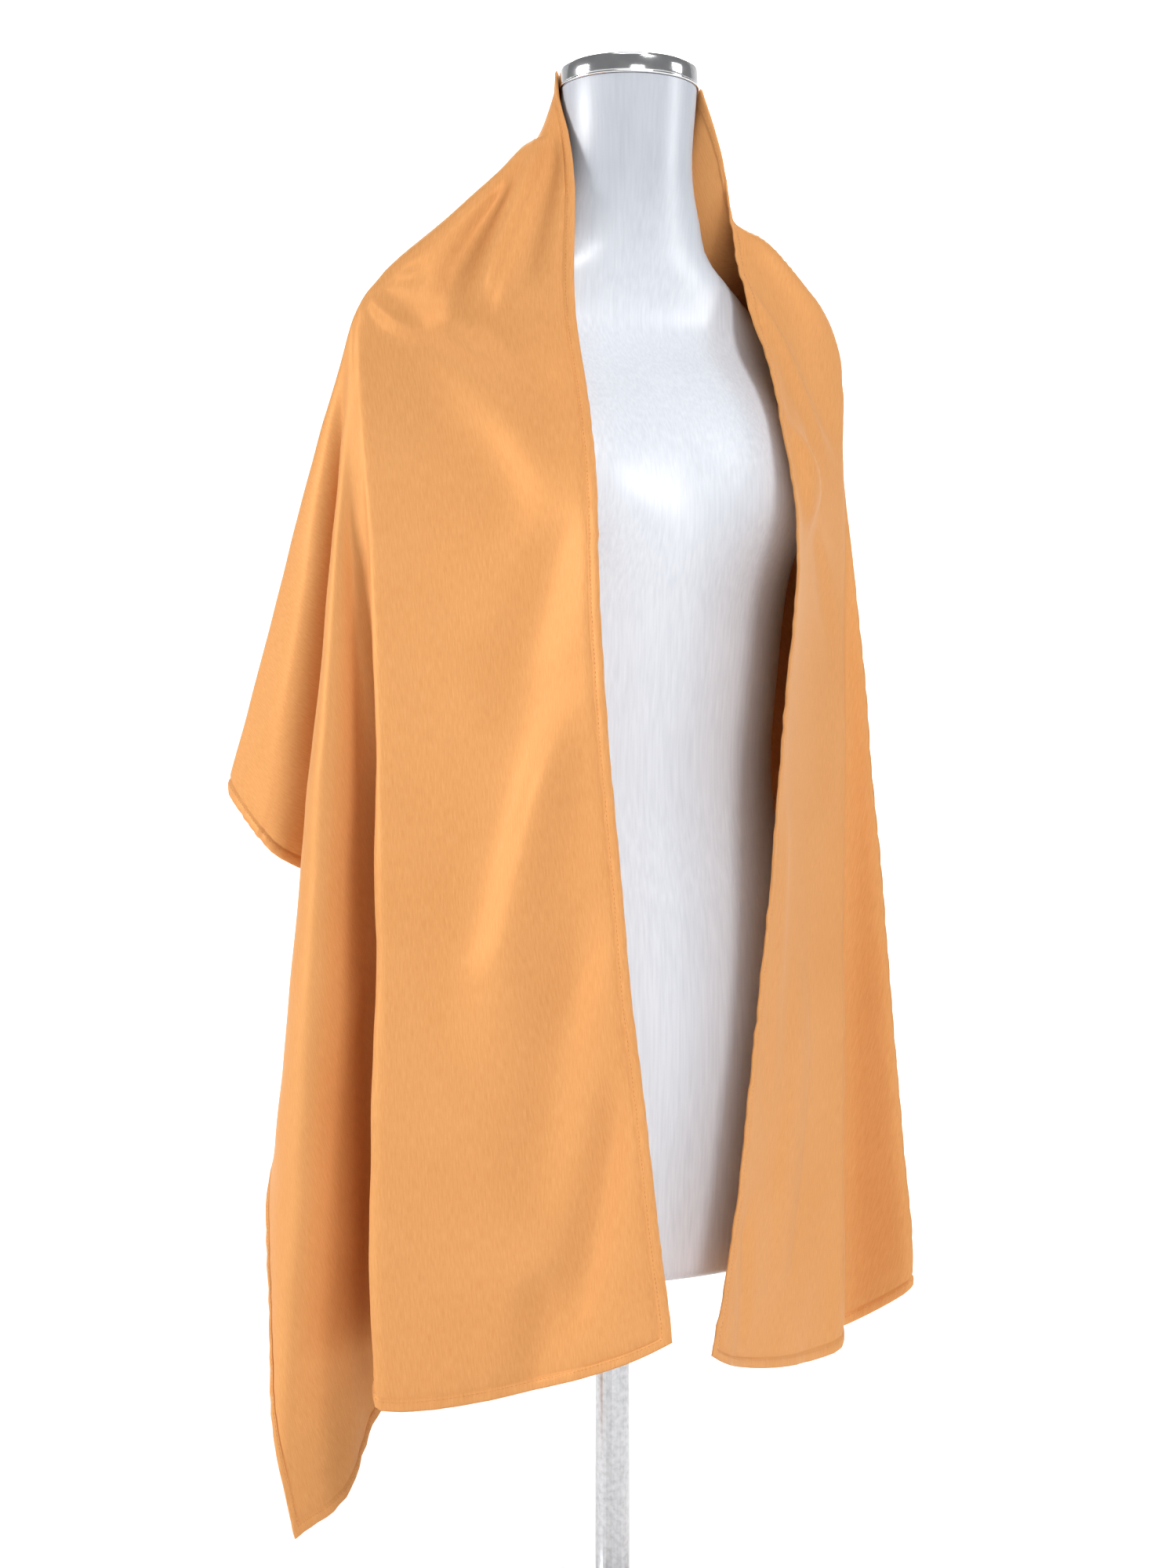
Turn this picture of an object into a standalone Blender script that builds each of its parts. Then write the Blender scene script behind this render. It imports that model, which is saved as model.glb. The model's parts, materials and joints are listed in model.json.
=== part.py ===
"""Evening stole of satin, worn over the shoulders of a limbless dress form on a round stand.

Units are metres, +Z is up and the form faces -Y. The origin is the middle of the stand's
underside. The stole is one rectangle of cloth. A place on it is given by two flat measures:
along, counted from the middle of its neck edge towards the form's right end (plus) or left
end (minus), and across, counted from the neck edge to the lower edge.
"""

import math
from collections import namedtuple

import bmesh
import bpy
import numpy as np
from mathutils import Vector

# The flat cut of the cloth
CLOTH_WIDTH = 0.61
RIGHT_END = 0.995
LEFT_END = -1.078
WALL = 0.0012
HEM_WIDTH = 0.008
HEM_WALL = 0.0018
SEAM_GAP = 0.0009

# The form's own sizes
FORM_BOTTOM = 0.279
NECK_TOP = 1.1356
NECK_RADIUS = 0.0493
NECK_LEAN = -0.022
BUST_HEIGHT = 0.842
BUST_SPREAD = 0.084
BUST_DEPTH = 0.036
BUST_RADIUS = 0.062
FORM_SIDES = 32
FORM_STEP = 0.038
CAP_RADIUS = 0.0507
CAP_HEIGHT = 0.0155
COLLAR_RADIUS = 0.0530
FORM_CLEARANCE = 0.0036

# The stand
BASE_RADIUS = 0.15
BASE_THICKNESS = 0.010
BASE_SIDES = 48
BOSS_RADIUS = 0.024
BOSS_FOOT = 0.028
BOSS_HEIGHT = 0.030
POLE_RADIUS = 0.0125
FLANGE_RADIUS = 0.042
FLANGE_THICKNESS = 0.008
FIT_GAP = 0.0003

# Mesh spacing of the cloth, closer together where it bends round the neck
ALONG_STEP = 0.0250
COLLAR_STEP = 0.0125
COLLAR_ZONE = (-0.250, 0.100)
FRONT_COLUMNS = 8
FAN_COLUMNS = 20

Ring = namedtuple("Ring", "height half_width front_depth back_depth middle_y")
FORM_RINGS = [
    Ring(0.279, 0.146, 0.092, 0.108, 0.0),
    Ring(0.360, 0.155, 0.098, 0.118, 0.0),
    Ring(0.440, 0.160, 0.102, 0.124, 0.0),
    Ring(0.530, 0.150, 0.098, 0.110, 0.0),
    Ring(0.635, 0.131, 0.086, 0.088, 0.0),
    Ring(0.735, 0.138, 0.092, 0.094, 0.0),
    Ring(0.830, 0.148, 0.096, 0.106, 0.0),
    Ring(0.900, 0.160, 0.080, 0.099, 0.0),
    Ring(0.925, 0.164, 0.065, 0.082, 0.0),
    Ring(0.945, 0.162, 0.051, 0.072, 0.0),
    Ring(0.962, 0.147, 0.045, 0.060, -0.001),
    Ring(0.980, 0.124, 0.044, 0.054, -0.004),
    Ring(1.000, 0.096, 0.046, 0.044, -0.007),
    Ring(1.016, 0.074, 0.047, 0.046, -0.009),
    Ring(1.043, 0.060, 0.048, 0.049, -0.013),
    Ring(1.065, 0.051, 0.049, 0.049, -0.016),
    Ring(NECK_TOP, NECK_RADIUS, NECK_RADIUS, NECK_RADIUS, NECK_LEAN),
]

EdgePoint = namedtuple("EdgePoint", "along x y height")
RIGHT_EDGE = [
    EdgePoint(0.065, -0.0482, 0.0000, 1.1385),
    EdgePoint(0.120, -0.052, -0.027, 1.086),
    EdgePoint(0.240, -0.076, -0.066, 0.972),
    EdgePoint(0.370, -0.103, -0.134, 0.852),
    EdgePoint(0.500, -0.106, -0.146, 0.728),
    EdgePoint(0.640, -0.096, -0.151, 0.590),
    EdgePoint(0.760, -0.086, -0.156, 0.472),
    EdgePoint(0.880, -0.071, -0.160, 0.348),
    EdgePoint(0.995, -0.0605, -0.1634, 0.2550),
]
LEFT_EDGE = [
    EdgePoint(0.150, 0.067, -0.043, 1.100),
    EdgePoint(0.200, 0.087, -0.028, 1.059),
    EdgePoint(0.265, 0.079, -0.052, 0.994),
    EdgePoint(0.320, 0.081, -0.080, 0.944),
    EdgePoint(0.370, 0.071, -0.112, 0.890),
    EdgePoint(0.440, 0.065, -0.137, 0.828),
    EdgePoint(0.610, 0.050, -0.141, 0.665),
    EdgePoint(0.815, 0.029, -0.139, 0.464),
    EdgePoint(1.000, 0.003, -0.139, 0.292),
    EdgePoint(1.078, -0.008, -0.138, 0.235),
]

# The crest of each shoulder, from where it leaves the neck edge to the tip of the shoulder
CrestPoint = namedtuple("CrestPoint", "share x y height")
RIGHT_CREST = [
    CrestPoint(0.230, -0.0615, 0.0015, 1.1065),
    CrestPoint(0.550, -0.1200, 0.0034, 1.0495),
    CrestPoint(0.910, -0.1945, 0.0034, 0.9880),
    CrestPoint(1.000, -0.2118, 0.0029, 0.9765),
]
LEFT_CREST = [
    CrestPoint(0.240, 0.1165, -0.0217, 1.0540),
    CrestPoint(0.480, 0.1500, -0.0130, 1.0355),
    CrestPoint(0.800, 0.1925, -0.0040, 1.0090),
    CrestPoint(1.000, 0.2165, -0.0009, 0.9900),
]

# Folds hang from the tip of each shoulder like the ribs of a half-closed fan. The flat angle
# is counted on the cut, from the end of the stole towards its lower edge, lean is sideways
# per unit of length, reach is the share of the flat length that the fold still shows,
# open_by is how far from the shoulder the fold has opened fully, and bow is how far it
# bows towards +X on its way down.
Fold = namedtuple("Fold", "flat_angle lean_x lean_y reach open_by bow")
BOW_LENGTH = 0.64
RIGHT_FOLDS = {
    "ridge": Fold(4.2, 0.015, -0.004, 1.009, 0.30, 0.010),
    "ridge_back": Fold(6.2, 0.030, 0.022, 0.992, 0.34, 0.010),
    "pleat": Fold(9.4, 0.066, 0.040, 0.980, 0.40, 0.008),
    "valley": Fold(13.2, 0.116, 0.070, 0.970, 0.44, 0.004),
    "valley_back": Fold(17.2, 0.132, 0.106, 0.970, 0.44, 0.0),
    "pleat_out": Fold(21.8, 0.0811, 0.1174, 0.990, 0.40, 0.0),
    "tail": Fold(26.0, 0.0384, 0.0893, 1.014, 0.30, 0.0),
    "tail_corner": Fold(29.6, -0.0156, 0.0778, 0.999, 0.24, 0.0),
    "tail_side": Fold(34.5, -0.0338, 0.1095, 0.990, 0.24, 0.0),
    "tail_back": Fold(42.0, -0.002, 0.185, 0.960, 0.24, 0.0),
    "inner_valley": Fold(53.0, 0.195, 0.235, 0.920, 0.24, 0.0),
    "valley_turn": Fold(58.0, 0.200, 0.275, 0.920, 0.24, 0.0),
    "wing_front": Fold(74.0, 0.005, 0.318, 0.925, 0.24, 0.0),
    "wing": Fold(90.0, -0.022, 0.497, 0.912, 0.24, 0.0),
}
LEFT_FOLDS = {
    "ridge": Fold(9.9, -0.0072, -0.0093, 1.004, 0.24, 0.0),
    "ridge_back": Fold(11.6, 0.020, 0.025, 0.990, 0.24, 0.0),
    "valley": Fold(15.4, 0.060, 0.075, 0.990, 0.24, 0.0),
    "crest": Fold(19.6, 0.118, 0.024, 0.926, 0.24, 0.0),
    "crest_side": Fold(22.5, 0.122, 0.089, 0.926, 0.24, 0.0),
    "tail_corner": Fold(31.5, 0.088, 0.190, 0.940, 0.24, 0.0),
    "tail_back": Fold(41.0, 0.058, 0.245, 0.930, 0.24, 0.0),
    "inner_valley": Fold(52.0, -0.170, 0.240, 0.920, 0.24, 0.0),
    "valley_turn": Fold(58.0, -0.175, 0.290, 0.920, 0.24, 0.0),
    "wing_front": Fold(73.0, 0.000, 0.350, 0.920, 0.24, 0.0),
    "wing": Fold(90.0, 0.040, 0.510, 0.910, 0.24, 0.0),
}

# One side of the stole: the tip of the shoulder and where it sits on the cut, where the
# crest of the shoulder leaves the neck edge, and that side's tables.
Side = namedtuple("Side", "tip tip_along tip_across leave_along edge crest folds")
RIGHT = Side(
    RIGHT_CREST[-1][1:], 0.222, 0.174, 0.051, RIGHT_EDGE, RIGHT_CREST, RIGHT_FOLDS
)
LEFT = Side(LEFT_CREST[-1][1:], 0.295, 0.125, 0.200, LEFT_EDGE, LEFT_CREST, LEFT_FOLDS)
CREST_MARGIN = 0.040
FOLD_START = 0.02

# The collar stands round the back of the neck between these two flat measures.
COLLAR_RIGHT = 0.051
COLLAR_LEFT = -0.110
COLLAR_HEIGHT_RIGHT = 1.1510
COLLAR_HEIGHT_LEFT = 1.1380

# The lower edge behind the form, between the two wings, and the bow of the cloth there
BACK_HEM = [
    EdgePoint(-0.200, 0.150, 0.190, 0.585),
    EdgePoint(-0.100, 0.078, 0.158, 0.568),
    EdgePoint(0.000, 0.000, 0.176, 0.560),
    EdgePoint(0.110, -0.105, 0.158, 0.580),
]
BACK_BOW = 0.040

# How far a front panel bows outwards, and how far its lower end sags, at the most
PANEL_BOW = 0.008
PANEL_SAG = 0.013
SAG_STEEPNESS = 0.6

COLOURS = {
    "satin": ((0.83, 0.40, 0.13), 0.38, 0.0),
    "form_white": ((0.82, 0.83, 0.87), 0.22, 0.0),
    "chrome": ((0.80, 0.80, 0.82), 0.08, 1.0),
    "steel": ((0.60, 0.61, 0.63), 0.30, 1.0),
}


def smooth_curve(keys, values, at):
    """Reads a smooth curve through the rows (keys, values) at new keys."""
    keys = np.asarray(keys, float)
    values = np.asarray(values, float)
    at = np.clip(np.asarray(at, float), keys[0], keys[-1])
    steps = np.diff(keys)[:, None]
    chords = np.diff(values, axis=0) / steps
    slopes = np.empty_like(values)
    slopes[0], slopes[-1] = chords[0], chords[-1]
    slopes[1:-1] = (chords[1:] * steps[:-1] + chords[:-1] * steps[1:]) / (steps[1:] + steps[:-1])
    i = np.clip(np.searchsorted(keys, at, side="right") - 1, 0, len(keys) - 2)
    h = steps[i]
    k = ((at - keys[i])[..., None]) / h
    return (
        values[i] * (2 * k**3 - 3 * k**2 + 1)
        + values[i + 1] * (3 * k**2 - 2 * k**3)
        + slopes[i] * h * (k**3 - 2 * k**2 + k)
        + slopes[i + 1] * h * (k**3 - k**2)
    )


def ease(low, high, value):
    """Rises smoothly from 0 at low to 1 at high."""
    k = np.clip((value - low) / (high - low), 0.0, 1.0)
    return k * k * (3 - 2 * k)


def form_ring(height):
    """Half width, front depth, back depth and middle of the form at a height."""
    rows = np.array(FORM_RINGS, float)
    return np.moveaxis(smooth_curve(rows[:, 0], rows[:, 1:], height), -1, 0)


def form_reach(angle, height):
    """How far the form's surface is from its middle line, in a direction and at a height."""
    half_width, front, back, _ = form_ring(height)
    c, s = np.cos(angle), np.sin(angle)
    depth = np.where(s < 0, front, back)
    reach = 1 / np.sqrt((c / half_width) ** 2 + (s / depth) ** 2)
    bust = 0.0
    for side in (-1, 1):
        off_x = reach * c - side * BUST_SPREAD
        off_z = height - BUST_HEIGHT
        off_z = np.where(off_z > 0, off_z * 0.62, off_z)
        near = (off_x**2 + off_z**2) / BUST_RADIUS**2
        bust = bust + BUST_DEPTH * np.exp(-1.6 * near) * np.clip(-s, 0, 1) ** 0.5
    return reach + bust


def rest_on_form(points):
    """Moves any cloth point that would be inside the form out to just clear of it."""
    x, y, z = points[..., 0], points[..., 1], points[..., 2]
    height = np.clip(z, FORM_BOTTOM, NECK_TOP)
    middle = form_ring(height)[3]
    angle = np.arctan2(y - middle, x)
    needed = form_reach(angle, height) + FORM_CLEARANCE
    distance = np.hypot(x, y - middle)
    grown = np.where((distance < needed) & (z > FORM_BOTTOM - 0.01), needed / distance, 1.0)
    out = points.copy()
    out[..., 0] = x * grown
    out[..., 1] = middle + (y - middle) * grown
    return out


def neck_edge(along):
    """The neck edge of the cloth in space, at flat measures along it."""
    turn = along / COLLAR_RADIUS
    share = (along - COLLAR_LEFT) / (COLLAR_RIGHT - COLLAR_LEFT)
    height = COLLAR_HEIGHT_LEFT + (COLLAR_HEIGHT_RIGHT - COLLAR_HEIGHT_LEFT) * share
    collar = np.stack(
        [-COLLAR_RADIUS * np.sin(turn), NECK_LEAN + COLLAR_RADIUS * np.cos(turn), height], -1
    )
    stations = [COLLAR_LEFT, COLLAR_RIGHT]
    ends = []
    for place in stations:
        angle = place / COLLAR_RADIUS
        share = (place - COLLAR_LEFT) / (COLLAR_RIGHT - COLLAR_LEFT)
        ends.append(
            (
                place,
                -COLLAR_RADIUS * math.sin(angle),
                NECK_LEAN + COLLAR_RADIUS * math.cos(angle),
                COLLAR_HEIGHT_LEFT + (COLLAR_HEIGHT_RIGHT - COLLAR_HEIGHT_LEFT) * share,
            )
        )
    right = np.array([ends[1], *RIGHT_EDGE])
    left = np.array([(-ends[0][0], *ends[0][1:]), *LEFT_EDGE])
    right_side = smooth_curve(right[:, 0], right[:, 1:], along)
    left_side = smooth_curve(left[:, 0], left[:, 1:], -along)
    out = np.where((along > COLLAR_RIGHT)[..., None], right_side, collar)
    return np.where((along < COLLAR_LEFT)[..., None], left_side, out)


def fold_line(side, flat_angle):
    """Direction and reach of the cloth that hangs from a shoulder tip at a flat angle."""
    rows = np.array(list(side.folds.values()), float)
    return smooth_curve(rows[:, 0], rows[:, 1:], flat_angle)


def hang(side, flat_angle, length):
    """Points on the folds that hang from a shoulder tip."""
    read = fold_line(side, flat_angle)
    rows = np.array(list(side.folds.values()), float)
    opened = ease(FOLD_START, read[..., 3], length)
    calm = smooth_curve(rows[[0, -1], 0], rows[[0, -1], 1:3], flat_angle)
    lean = calm + (read[..., :2] - calm) * opened[..., None]
    down = -np.sqrt(np.clip(1 - (lean**2).sum(-1), 0.05, 1))
    direction = np.concatenate([lean, down[..., None]], -1)
    out = np.array(side.tip) + direction * (length * read[..., 2])[..., None]
    out[..., 0] += read[..., 4] * np.sin(math.pi * np.clip(length / BOW_LENGTH, 0, 1))
    return out


def shoulder_line(side, along):
    """Flat measure across where the front panel ends: shoulder crest, then front ridge."""
    share = (along - side.leave_along) / (side.tip_along - side.leave_along)
    crest = side.tip_across * np.clip(share, 0, 1)
    slope = math.tan(math.radians(side.folds["ridge"].flat_angle))
    return crest + np.maximum(along - side.tip_along, 0) * slope


def crest_points(side, sign, share):
    """The crest of the shoulder, from the neck edge to its tip."""
    start = neck_edge(np.array(sign * side.leave_along))
    rows = np.array([(0.0, *start), *side.crest])
    return smooth_curve(rows[:, 0], rows[:, 1:], share)


def front_panel(side, sign, along, across):
    """The panel between the neck edge and the shoulder crest or the front ridge."""
    edge = neck_edge(sign * along)
    line = np.maximum(shoulder_line(side, along), 1e-6)
    share = np.clip(across / line, 0, 1)
    up = np.clip((along - side.leave_along) / (side.tip_along - side.leave_along), 0, 1)
    crest = crest_points(side, sign, up)
    ridge_angle = np.full_like(along, side.folds["ridge"].flat_angle)
    below = np.hypot(along - side.tip_along, line - side.tip_across)
    ridge = hang(side, ridge_angle, below)
    outer = np.where((along > side.tip_along)[..., None], ridge, crest)
    chord = outer - edge
    outward = np.stack([chord[..., 1], -chord[..., 0], 0 * along], -1) * sign
    outward /= np.maximum(np.linalg.norm(outward, axis=-1, keepdims=True), 1e-9)
    hump = np.clip(np.sin(math.pi * share), 0, 1)
    bow = PANEL_BOW * hump * ease(side.leave_along, side.tip_along, along)
    sag = PANEL_SAG * hump**SAG_STEEPNESS * ease(side.tip_along, RIGHT_END, along)
    out = edge + chord * share[..., None] + outward * bow[..., None]
    out[..., 2] -= sag
    return out


def back_panel(along, across):
    """The cloth behind the form, from collar and shoulder crests to the lower edge."""
    line = np.zeros_like(along)
    top = neck_edge(along)
    tips = []
    for side, sign in ((RIGHT, 1), (LEFT, -1)):
        here = sign * along
        crest_share = np.clip(
            (here - side.leave_along) / (side.tip_along - side.leave_along), 0, 1
        )
        crest = crest_points(side, sign, crest_share)
        on_crest = here > side.leave_along
        top = np.where(on_crest[..., None], crest, top)
        line = np.where(on_crest, side.tip_across * crest_share, line)
        drop = np.array(CLOTH_WIDTH - side.tip_across)
        tips.append((sign * side.tip_along, *hang(side, np.array(90.0), drop)))
    hem_rows = np.array([tips[1], *BACK_HEM, tips[0]])
    hem = smooth_curve(hem_rows[:, 0], hem_rows[:, 1:], along)
    share = (across - line) / (CLOTH_WIDTH - line)
    reach = np.where(along > 0, along / RIGHT.tip_along, -along / LEFT.tip_along)
    bow = BACK_BOW * np.sin(math.pi * share) * (1 - np.clip(reach, 0, 1) ** 3)
    out = top + (hem - top) * share[..., None]
    out[..., 1] += bow
    return out


def cloth_points(along, across):
    """The stole in space, at flat measures along and across."""
    out = back_panel(along, across)
    for side, sign in ((RIGHT, 1), (LEFT, -1)):
        here = sign * along
        line = shoulder_line(side, here)
        front = (here > side.leave_along) & (across < line)
        fan = (here > side.tip_along) & ~front
        down = np.hypot(here - side.tip_along, across - side.tip_across)
        angle = np.degrees(
            np.arctan2(across - side.tip_across, np.maximum(here - side.tip_along, 1e-9))
        )
        out = np.where(fan[..., None], hang(side, angle, down), out)
        out = np.where(front[..., None], front_panel(side, sign, here, across), out)
    return out


def ridge_across(along):
    """Flat measure across of the column that follows both front ridges."""
    tips = [(-LEFT.tip_along, LEFT.tip_across), (RIGHT.tip_along, RIGHT.tip_across)]
    middle = np.interp(along, [t[0] for t in tips], [t[1] for t in tips])
    right = shoulder_line(RIGHT, along)
    left = shoulder_line(LEFT, -along)
    return np.where(
        along > RIGHT.tip_along, right, np.where(-along > LEFT.tip_along, left, middle)
    )


def soften(points, rounds, keep):
    """Rounds the folds by moving each point part of the way to its neighbours' middle."""
    for _ in range(rounds):
        along_mean = points.copy()
        along_mean[1:-1] = (points[:-2] + points[2:]) / 2
        across_mean = points.copy()
        across_mean[:, 1:-1] = (points[:, :-2] + points[:, 2:]) / 2
        target = (along_mean + across_mean) / 2
        target[:, 0] = along_mean[:, 0]
        target[:, -1] = along_mean[:, -1]
        target[0] = across_mean[0]
        target[-1] = across_mean[-1]
        target[0, [0, -1]] = points[0, [0, -1]]
        target[-1, [0, -1]] = points[-1, [0, -1]]
        points = points + (target - points) * (0.6 * keep[..., None])
    return points


def cloth_grid():
    """Flat measures and space points of the whole stole, in rows along and columns across."""
    stops = [LEFT_END, *COLLAR_ZONE, RIGHT_END]
    steps = [ALONG_STEP, COLLAR_STEP, ALONG_STEP]
    along = np.array([LEFT_END])
    for start, end, step in zip(stops, stops[1:], steps):
        count = int(round((end - start) / step))
        along = np.concatenate([along, np.linspace(start, end, count + 1)[1:]])
    ridge = ridge_across(along)
    front = np.linspace(0, 1, FRONT_COLUMNS + 1)
    fan = np.linspace(0, 1, FAN_COLUMNS + 1)[1:]
    across = np.concatenate(
        [ridge[:, None] * front, ridge[:, None] + (CLOTH_WIDTH - ridge[:, None]) * fan], 1
    )
    flat_along = np.repeat(along[:, None], across.shape[1], 1)
    points = cloth_points(flat_along, across)
    keep = np.ones(points.shape[:2])
    off_back = (along > RIGHT.tip_along + 0.05) | (-along > LEFT.tip_along + 0.05)
    keep[off_back, FRONT_COLUMNS] = 0.35
    keep[(along > COLLAR_LEFT - 0.02) & (along < COLLAR_RIGHT + 0.02), 0] = 0
    points = rest_on_form(points)
    points = soften(points, 1, keep)
    shoulder = np.zeros(points.shape[:2])
    for side, sign in ((RIGHT, 1), (LEFT, -1)):
        off = np.abs(sign * flat_along - (side.leave_along + side.tip_along) / 2)
        reach = (side.tip_along - side.leave_along) / 2 + CREST_MARGIN
        shoulder += ease(reach, reach - CREST_MARGIN, off)
    shoulder *= ease(0.30, 0.20, across) * keep
    points = soften(points, 3, shoulder)
    return flat_along, across, rest_on_form(points)


def make_material(name):
    colour, roughness, metallic = COLOURS[name]
    material = bpy.data.materials.new(name)
    material.use_nodes = True
    shader = material.node_tree.nodes["Principled BSDF"]
    shader.inputs["Base Color"].default_value = (*colour, 1.0)
    shader.inputs["Roughness"].default_value = roughness
    shader.inputs["Metallic"].default_value = metallic
    return material


def add_object(name, mesh, collection, material):
    piece = bpy.data.objects.new(name, mesh)
    collection.objects.link(piece)
    mesh.materials.append(material)
    return piece


def shade(mesh, limit_degrees):
    mesh.shade_smooth()
    mesh.set_sharp_from_angle(angle=math.radians(limit_degrees))


def grid_normals(flat_along, points):
    """Unit normals of a grid of points, evened out where the neck edge turns its corners."""
    along = np.gradient(points, axis=0)
    across = np.gradient(points, axis=1)
    normals = np.cross(along, across)
    normals /= np.maximum(np.linalg.norm(normals, axis=-1, keepdims=True), 1e-12)
    low, high = COLLAR_ZONE
    near = (flat_along > low) & (flat_along < high)
    normals = soften(normals, 3, near.astype(float))
    return normals / np.linalg.norm(normals, axis=-1, keepdims=True)


def add_wall(name, points, normals, thickness, collection, material):
    """A closed wall: Blender's grid laid on one face of the cloth and extruded to the other."""
    rows, columns = points.shape[:2]
    bm = bmesh.new()
    place_of = bm.verts.layers.int.new("place")
    bmesh.ops.create_grid(bm, x_segments=rows - 1, y_segments=columns - 1, size=0.5)
    order = sorted(bm.verts, key=lambda v: (round(v.co.x, 5), round(v.co.y, 5)))
    offsets = normals * thickness
    for number, (vert, place) in enumerate(zip(order, (points - offsets / 2).reshape(-1, 3))):
        vert.co = place
        vert[place_of] = number
    raised = bmesh.ops.extrude_face_region(bm, geom=bm.faces[:])["geom"]
    shifts = offsets.reshape(-1, 3)
    for vert in raised:
        if isinstance(vert, bmesh.types.BMVert):
            vert.co += Vector(shifts[vert[place_of]])
    bmesh.ops.recalc_face_normals(bm, faces=bm.faces[:])
    mesh = bpy.data.meshes.new(name)
    bm.to_mesh(mesh)
    bm.free()
    mesh.attributes.remove(mesh.attributes["place"])
    shade(mesh, 50)
    return add_object(name, mesh, collection, material)


def read_between(layers, flat, place, axis):
    """A row or a column of the grid at one flat measure, or at one for each point of it."""
    layers = np.moveaxis(layers, axis, 0)
    flat = np.moveaxis(flat, axis, 0)
    places = np.broadcast_to(place, layers.shape[1:2])
    out = np.empty(layers.shape[1:])
    for i in range(layers.shape[1]):
        for channel in range(layers.shape[2]):
            out[i, channel] = np.interp(places[i], flat[:, i], layers[:, i, channel])
    return out


def strip_rows(flat_along, layers, start, end):
    """Every layer of the grid between two flat measures along, cut at exactly those two."""
    inside = (flat_along[:, 0] > start + 0.004) & (flat_along[:, 0] < end - 0.004)
    cut = [read_between(layers, flat_along, place, 0)[None] for place in (start, end)]
    return np.concatenate([cut[0], layers[inside], cut[1]])


def strip_columns(layers, start, end):
    """Every layer of the grid between two flat measures across, the same or one for each row."""
    across = layers[..., 0]
    above = across > np.reshape(start, (-1, 1)) + 0.004
    inside = above.all(0) & (across < np.reshape(end, (-1, 1)) - 0.004).all(0)
    cut = [read_between(layers, across, place, 1)[:, None] for place in (start, end)]
    return np.concatenate([cut[0], layers[:, inside], cut[1]], 1)


def make_stole(collection):
    """The stretches of cloth, parted at the shoulder tips and front ridges, and their hems."""
    satin = make_material("satin")
    flat_along, across, points = cloth_grid()
    layers = np.concatenate([across[..., None], points, grid_normals(flat_along, points)], -1)
    half = SEAM_GAP / 2
    cuts = {
        "right_front": (RIGHT.tip_along + half, RIGHT_END - HEM_WIDTH - half),
        "back": (-LEFT.tip_along + half, RIGHT.tip_along - half),
        "left_front": (LEFT_END + HEM_WIDTH + half, -LEFT.tip_along - half),
    }
    hems = {
        "neck_hem": (0.0, HEM_WIDTH - half, HEM_WALL),
        "lower_hem": (CLOTH_WIDTH - HEM_WIDTH + half, CLOTH_WIDTH, HEM_WALL),
    }
    top, bottom = HEM_WIDTH + half, CLOTH_WIDTH - HEM_WIDTH - half
    for stretch, (start, end) in cuts.items():
        rows = strip_rows(flat_along, layers, start, end)
        ridge = rows[:, FRONT_COLUMNS, 0]
        panels = {"panel": (top, bottom, WALL)}
        if stretch != "back":
            panels = {
                "panel": (top, ridge - half, WALL),
                "side_fall": (ridge + half, bottom, WALL),
            }
        for band, (inner, outer, thickness) in {**panels, **hems}.items():
            piece = strip_columns(rows, inner, outer)
            add_wall(
                f"{stretch}_{band}", piece[..., 1:4], piece[..., 4:], thickness, collection, satin
            )
    ends = {
        "right_end_hem": (RIGHT_END - HEM_WIDTH + half, RIGHT_END),
        "left_end_hem": (LEFT_END, LEFT_END + HEM_WIDTH - half),
    }
    for name, (start, end) in ends.items():
        piece = strip_rows(flat_along, layers, start, end)
        add_wall(name, piece[..., 1:4], piece[..., 4:], HEM_WALL, collection, satin)


def loft_rings(name, rings):
    """A closed solid through rings of equal counts, with flat ends."""
    bm = bmesh.new()
    loops = [[bm.verts.new(place) for place in ring] for ring in rings]
    count = len(loops[0])
    for low, high in zip(loops, loops[1:]):
        for i in range(count):
            j = (i + 1) % count
            bm.faces.new((low[i], low[j], high[j], high[i]))
    bm.faces.new(list(reversed(loops[0])))
    bm.faces.new(loops[-1])
    mesh = bpy.data.meshes.new(name)
    bm.to_mesh(mesh)
    bm.free()
    return mesh


def make_form(collection):
    """The torso without limbs, from hips to neck."""
    levels = int(math.ceil((NECK_TOP - FORM_BOTTOM) / FORM_STEP))
    heights = sorted(
        {round(h, 4) for h in np.linspace(FORM_BOTTOM, NECK_TOP, levels + 1)}
        | {ring.height for ring in FORM_RINGS if 0.91 < ring.height < 1.05}
    )
    angles = np.linspace(0, 2 * math.pi, FORM_SIDES, endpoint=False)
    rings = []
    for height in heights:
        level = np.full_like(angles, height)
        reach = form_reach(angles, level)
        middle = form_ring(level)[3]
        rings.append(
            np.stack([reach * np.cos(angles), middle + reach * np.sin(angles), level], 1)
        )
    mesh = loft_rings("dress_form", rings)
    shade(mesh, 50)
    return add_object("dress_form", mesh, collection, make_material("form_white"))


def turned(name, profile, sides, collection, material, place=(0.0, 0.0, 0.0)):
    """A solid turned round +Z from a profile of (radius, height) points, top to bottom."""
    bm = bmesh.new()
    verts = [bm.verts.new((radius, 0.0, height)) for radius, height in profile]
    for a, b in zip(verts, verts[1:]):
        bm.edges.new((a, b))
    mesh = bpy.data.meshes.new(name)
    bm.to_mesh(mesh)
    bm.free()
    piece = add_object(name, mesh, collection, material)
    piece.location = place
    screw = piece.modifiers.new("turn", "SCREW")
    screw.steps = sides
    screw.render_steps = sides
    screw.use_merge_vertices = True
    screw.merge_threshold = 0.00005
    return piece


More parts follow.
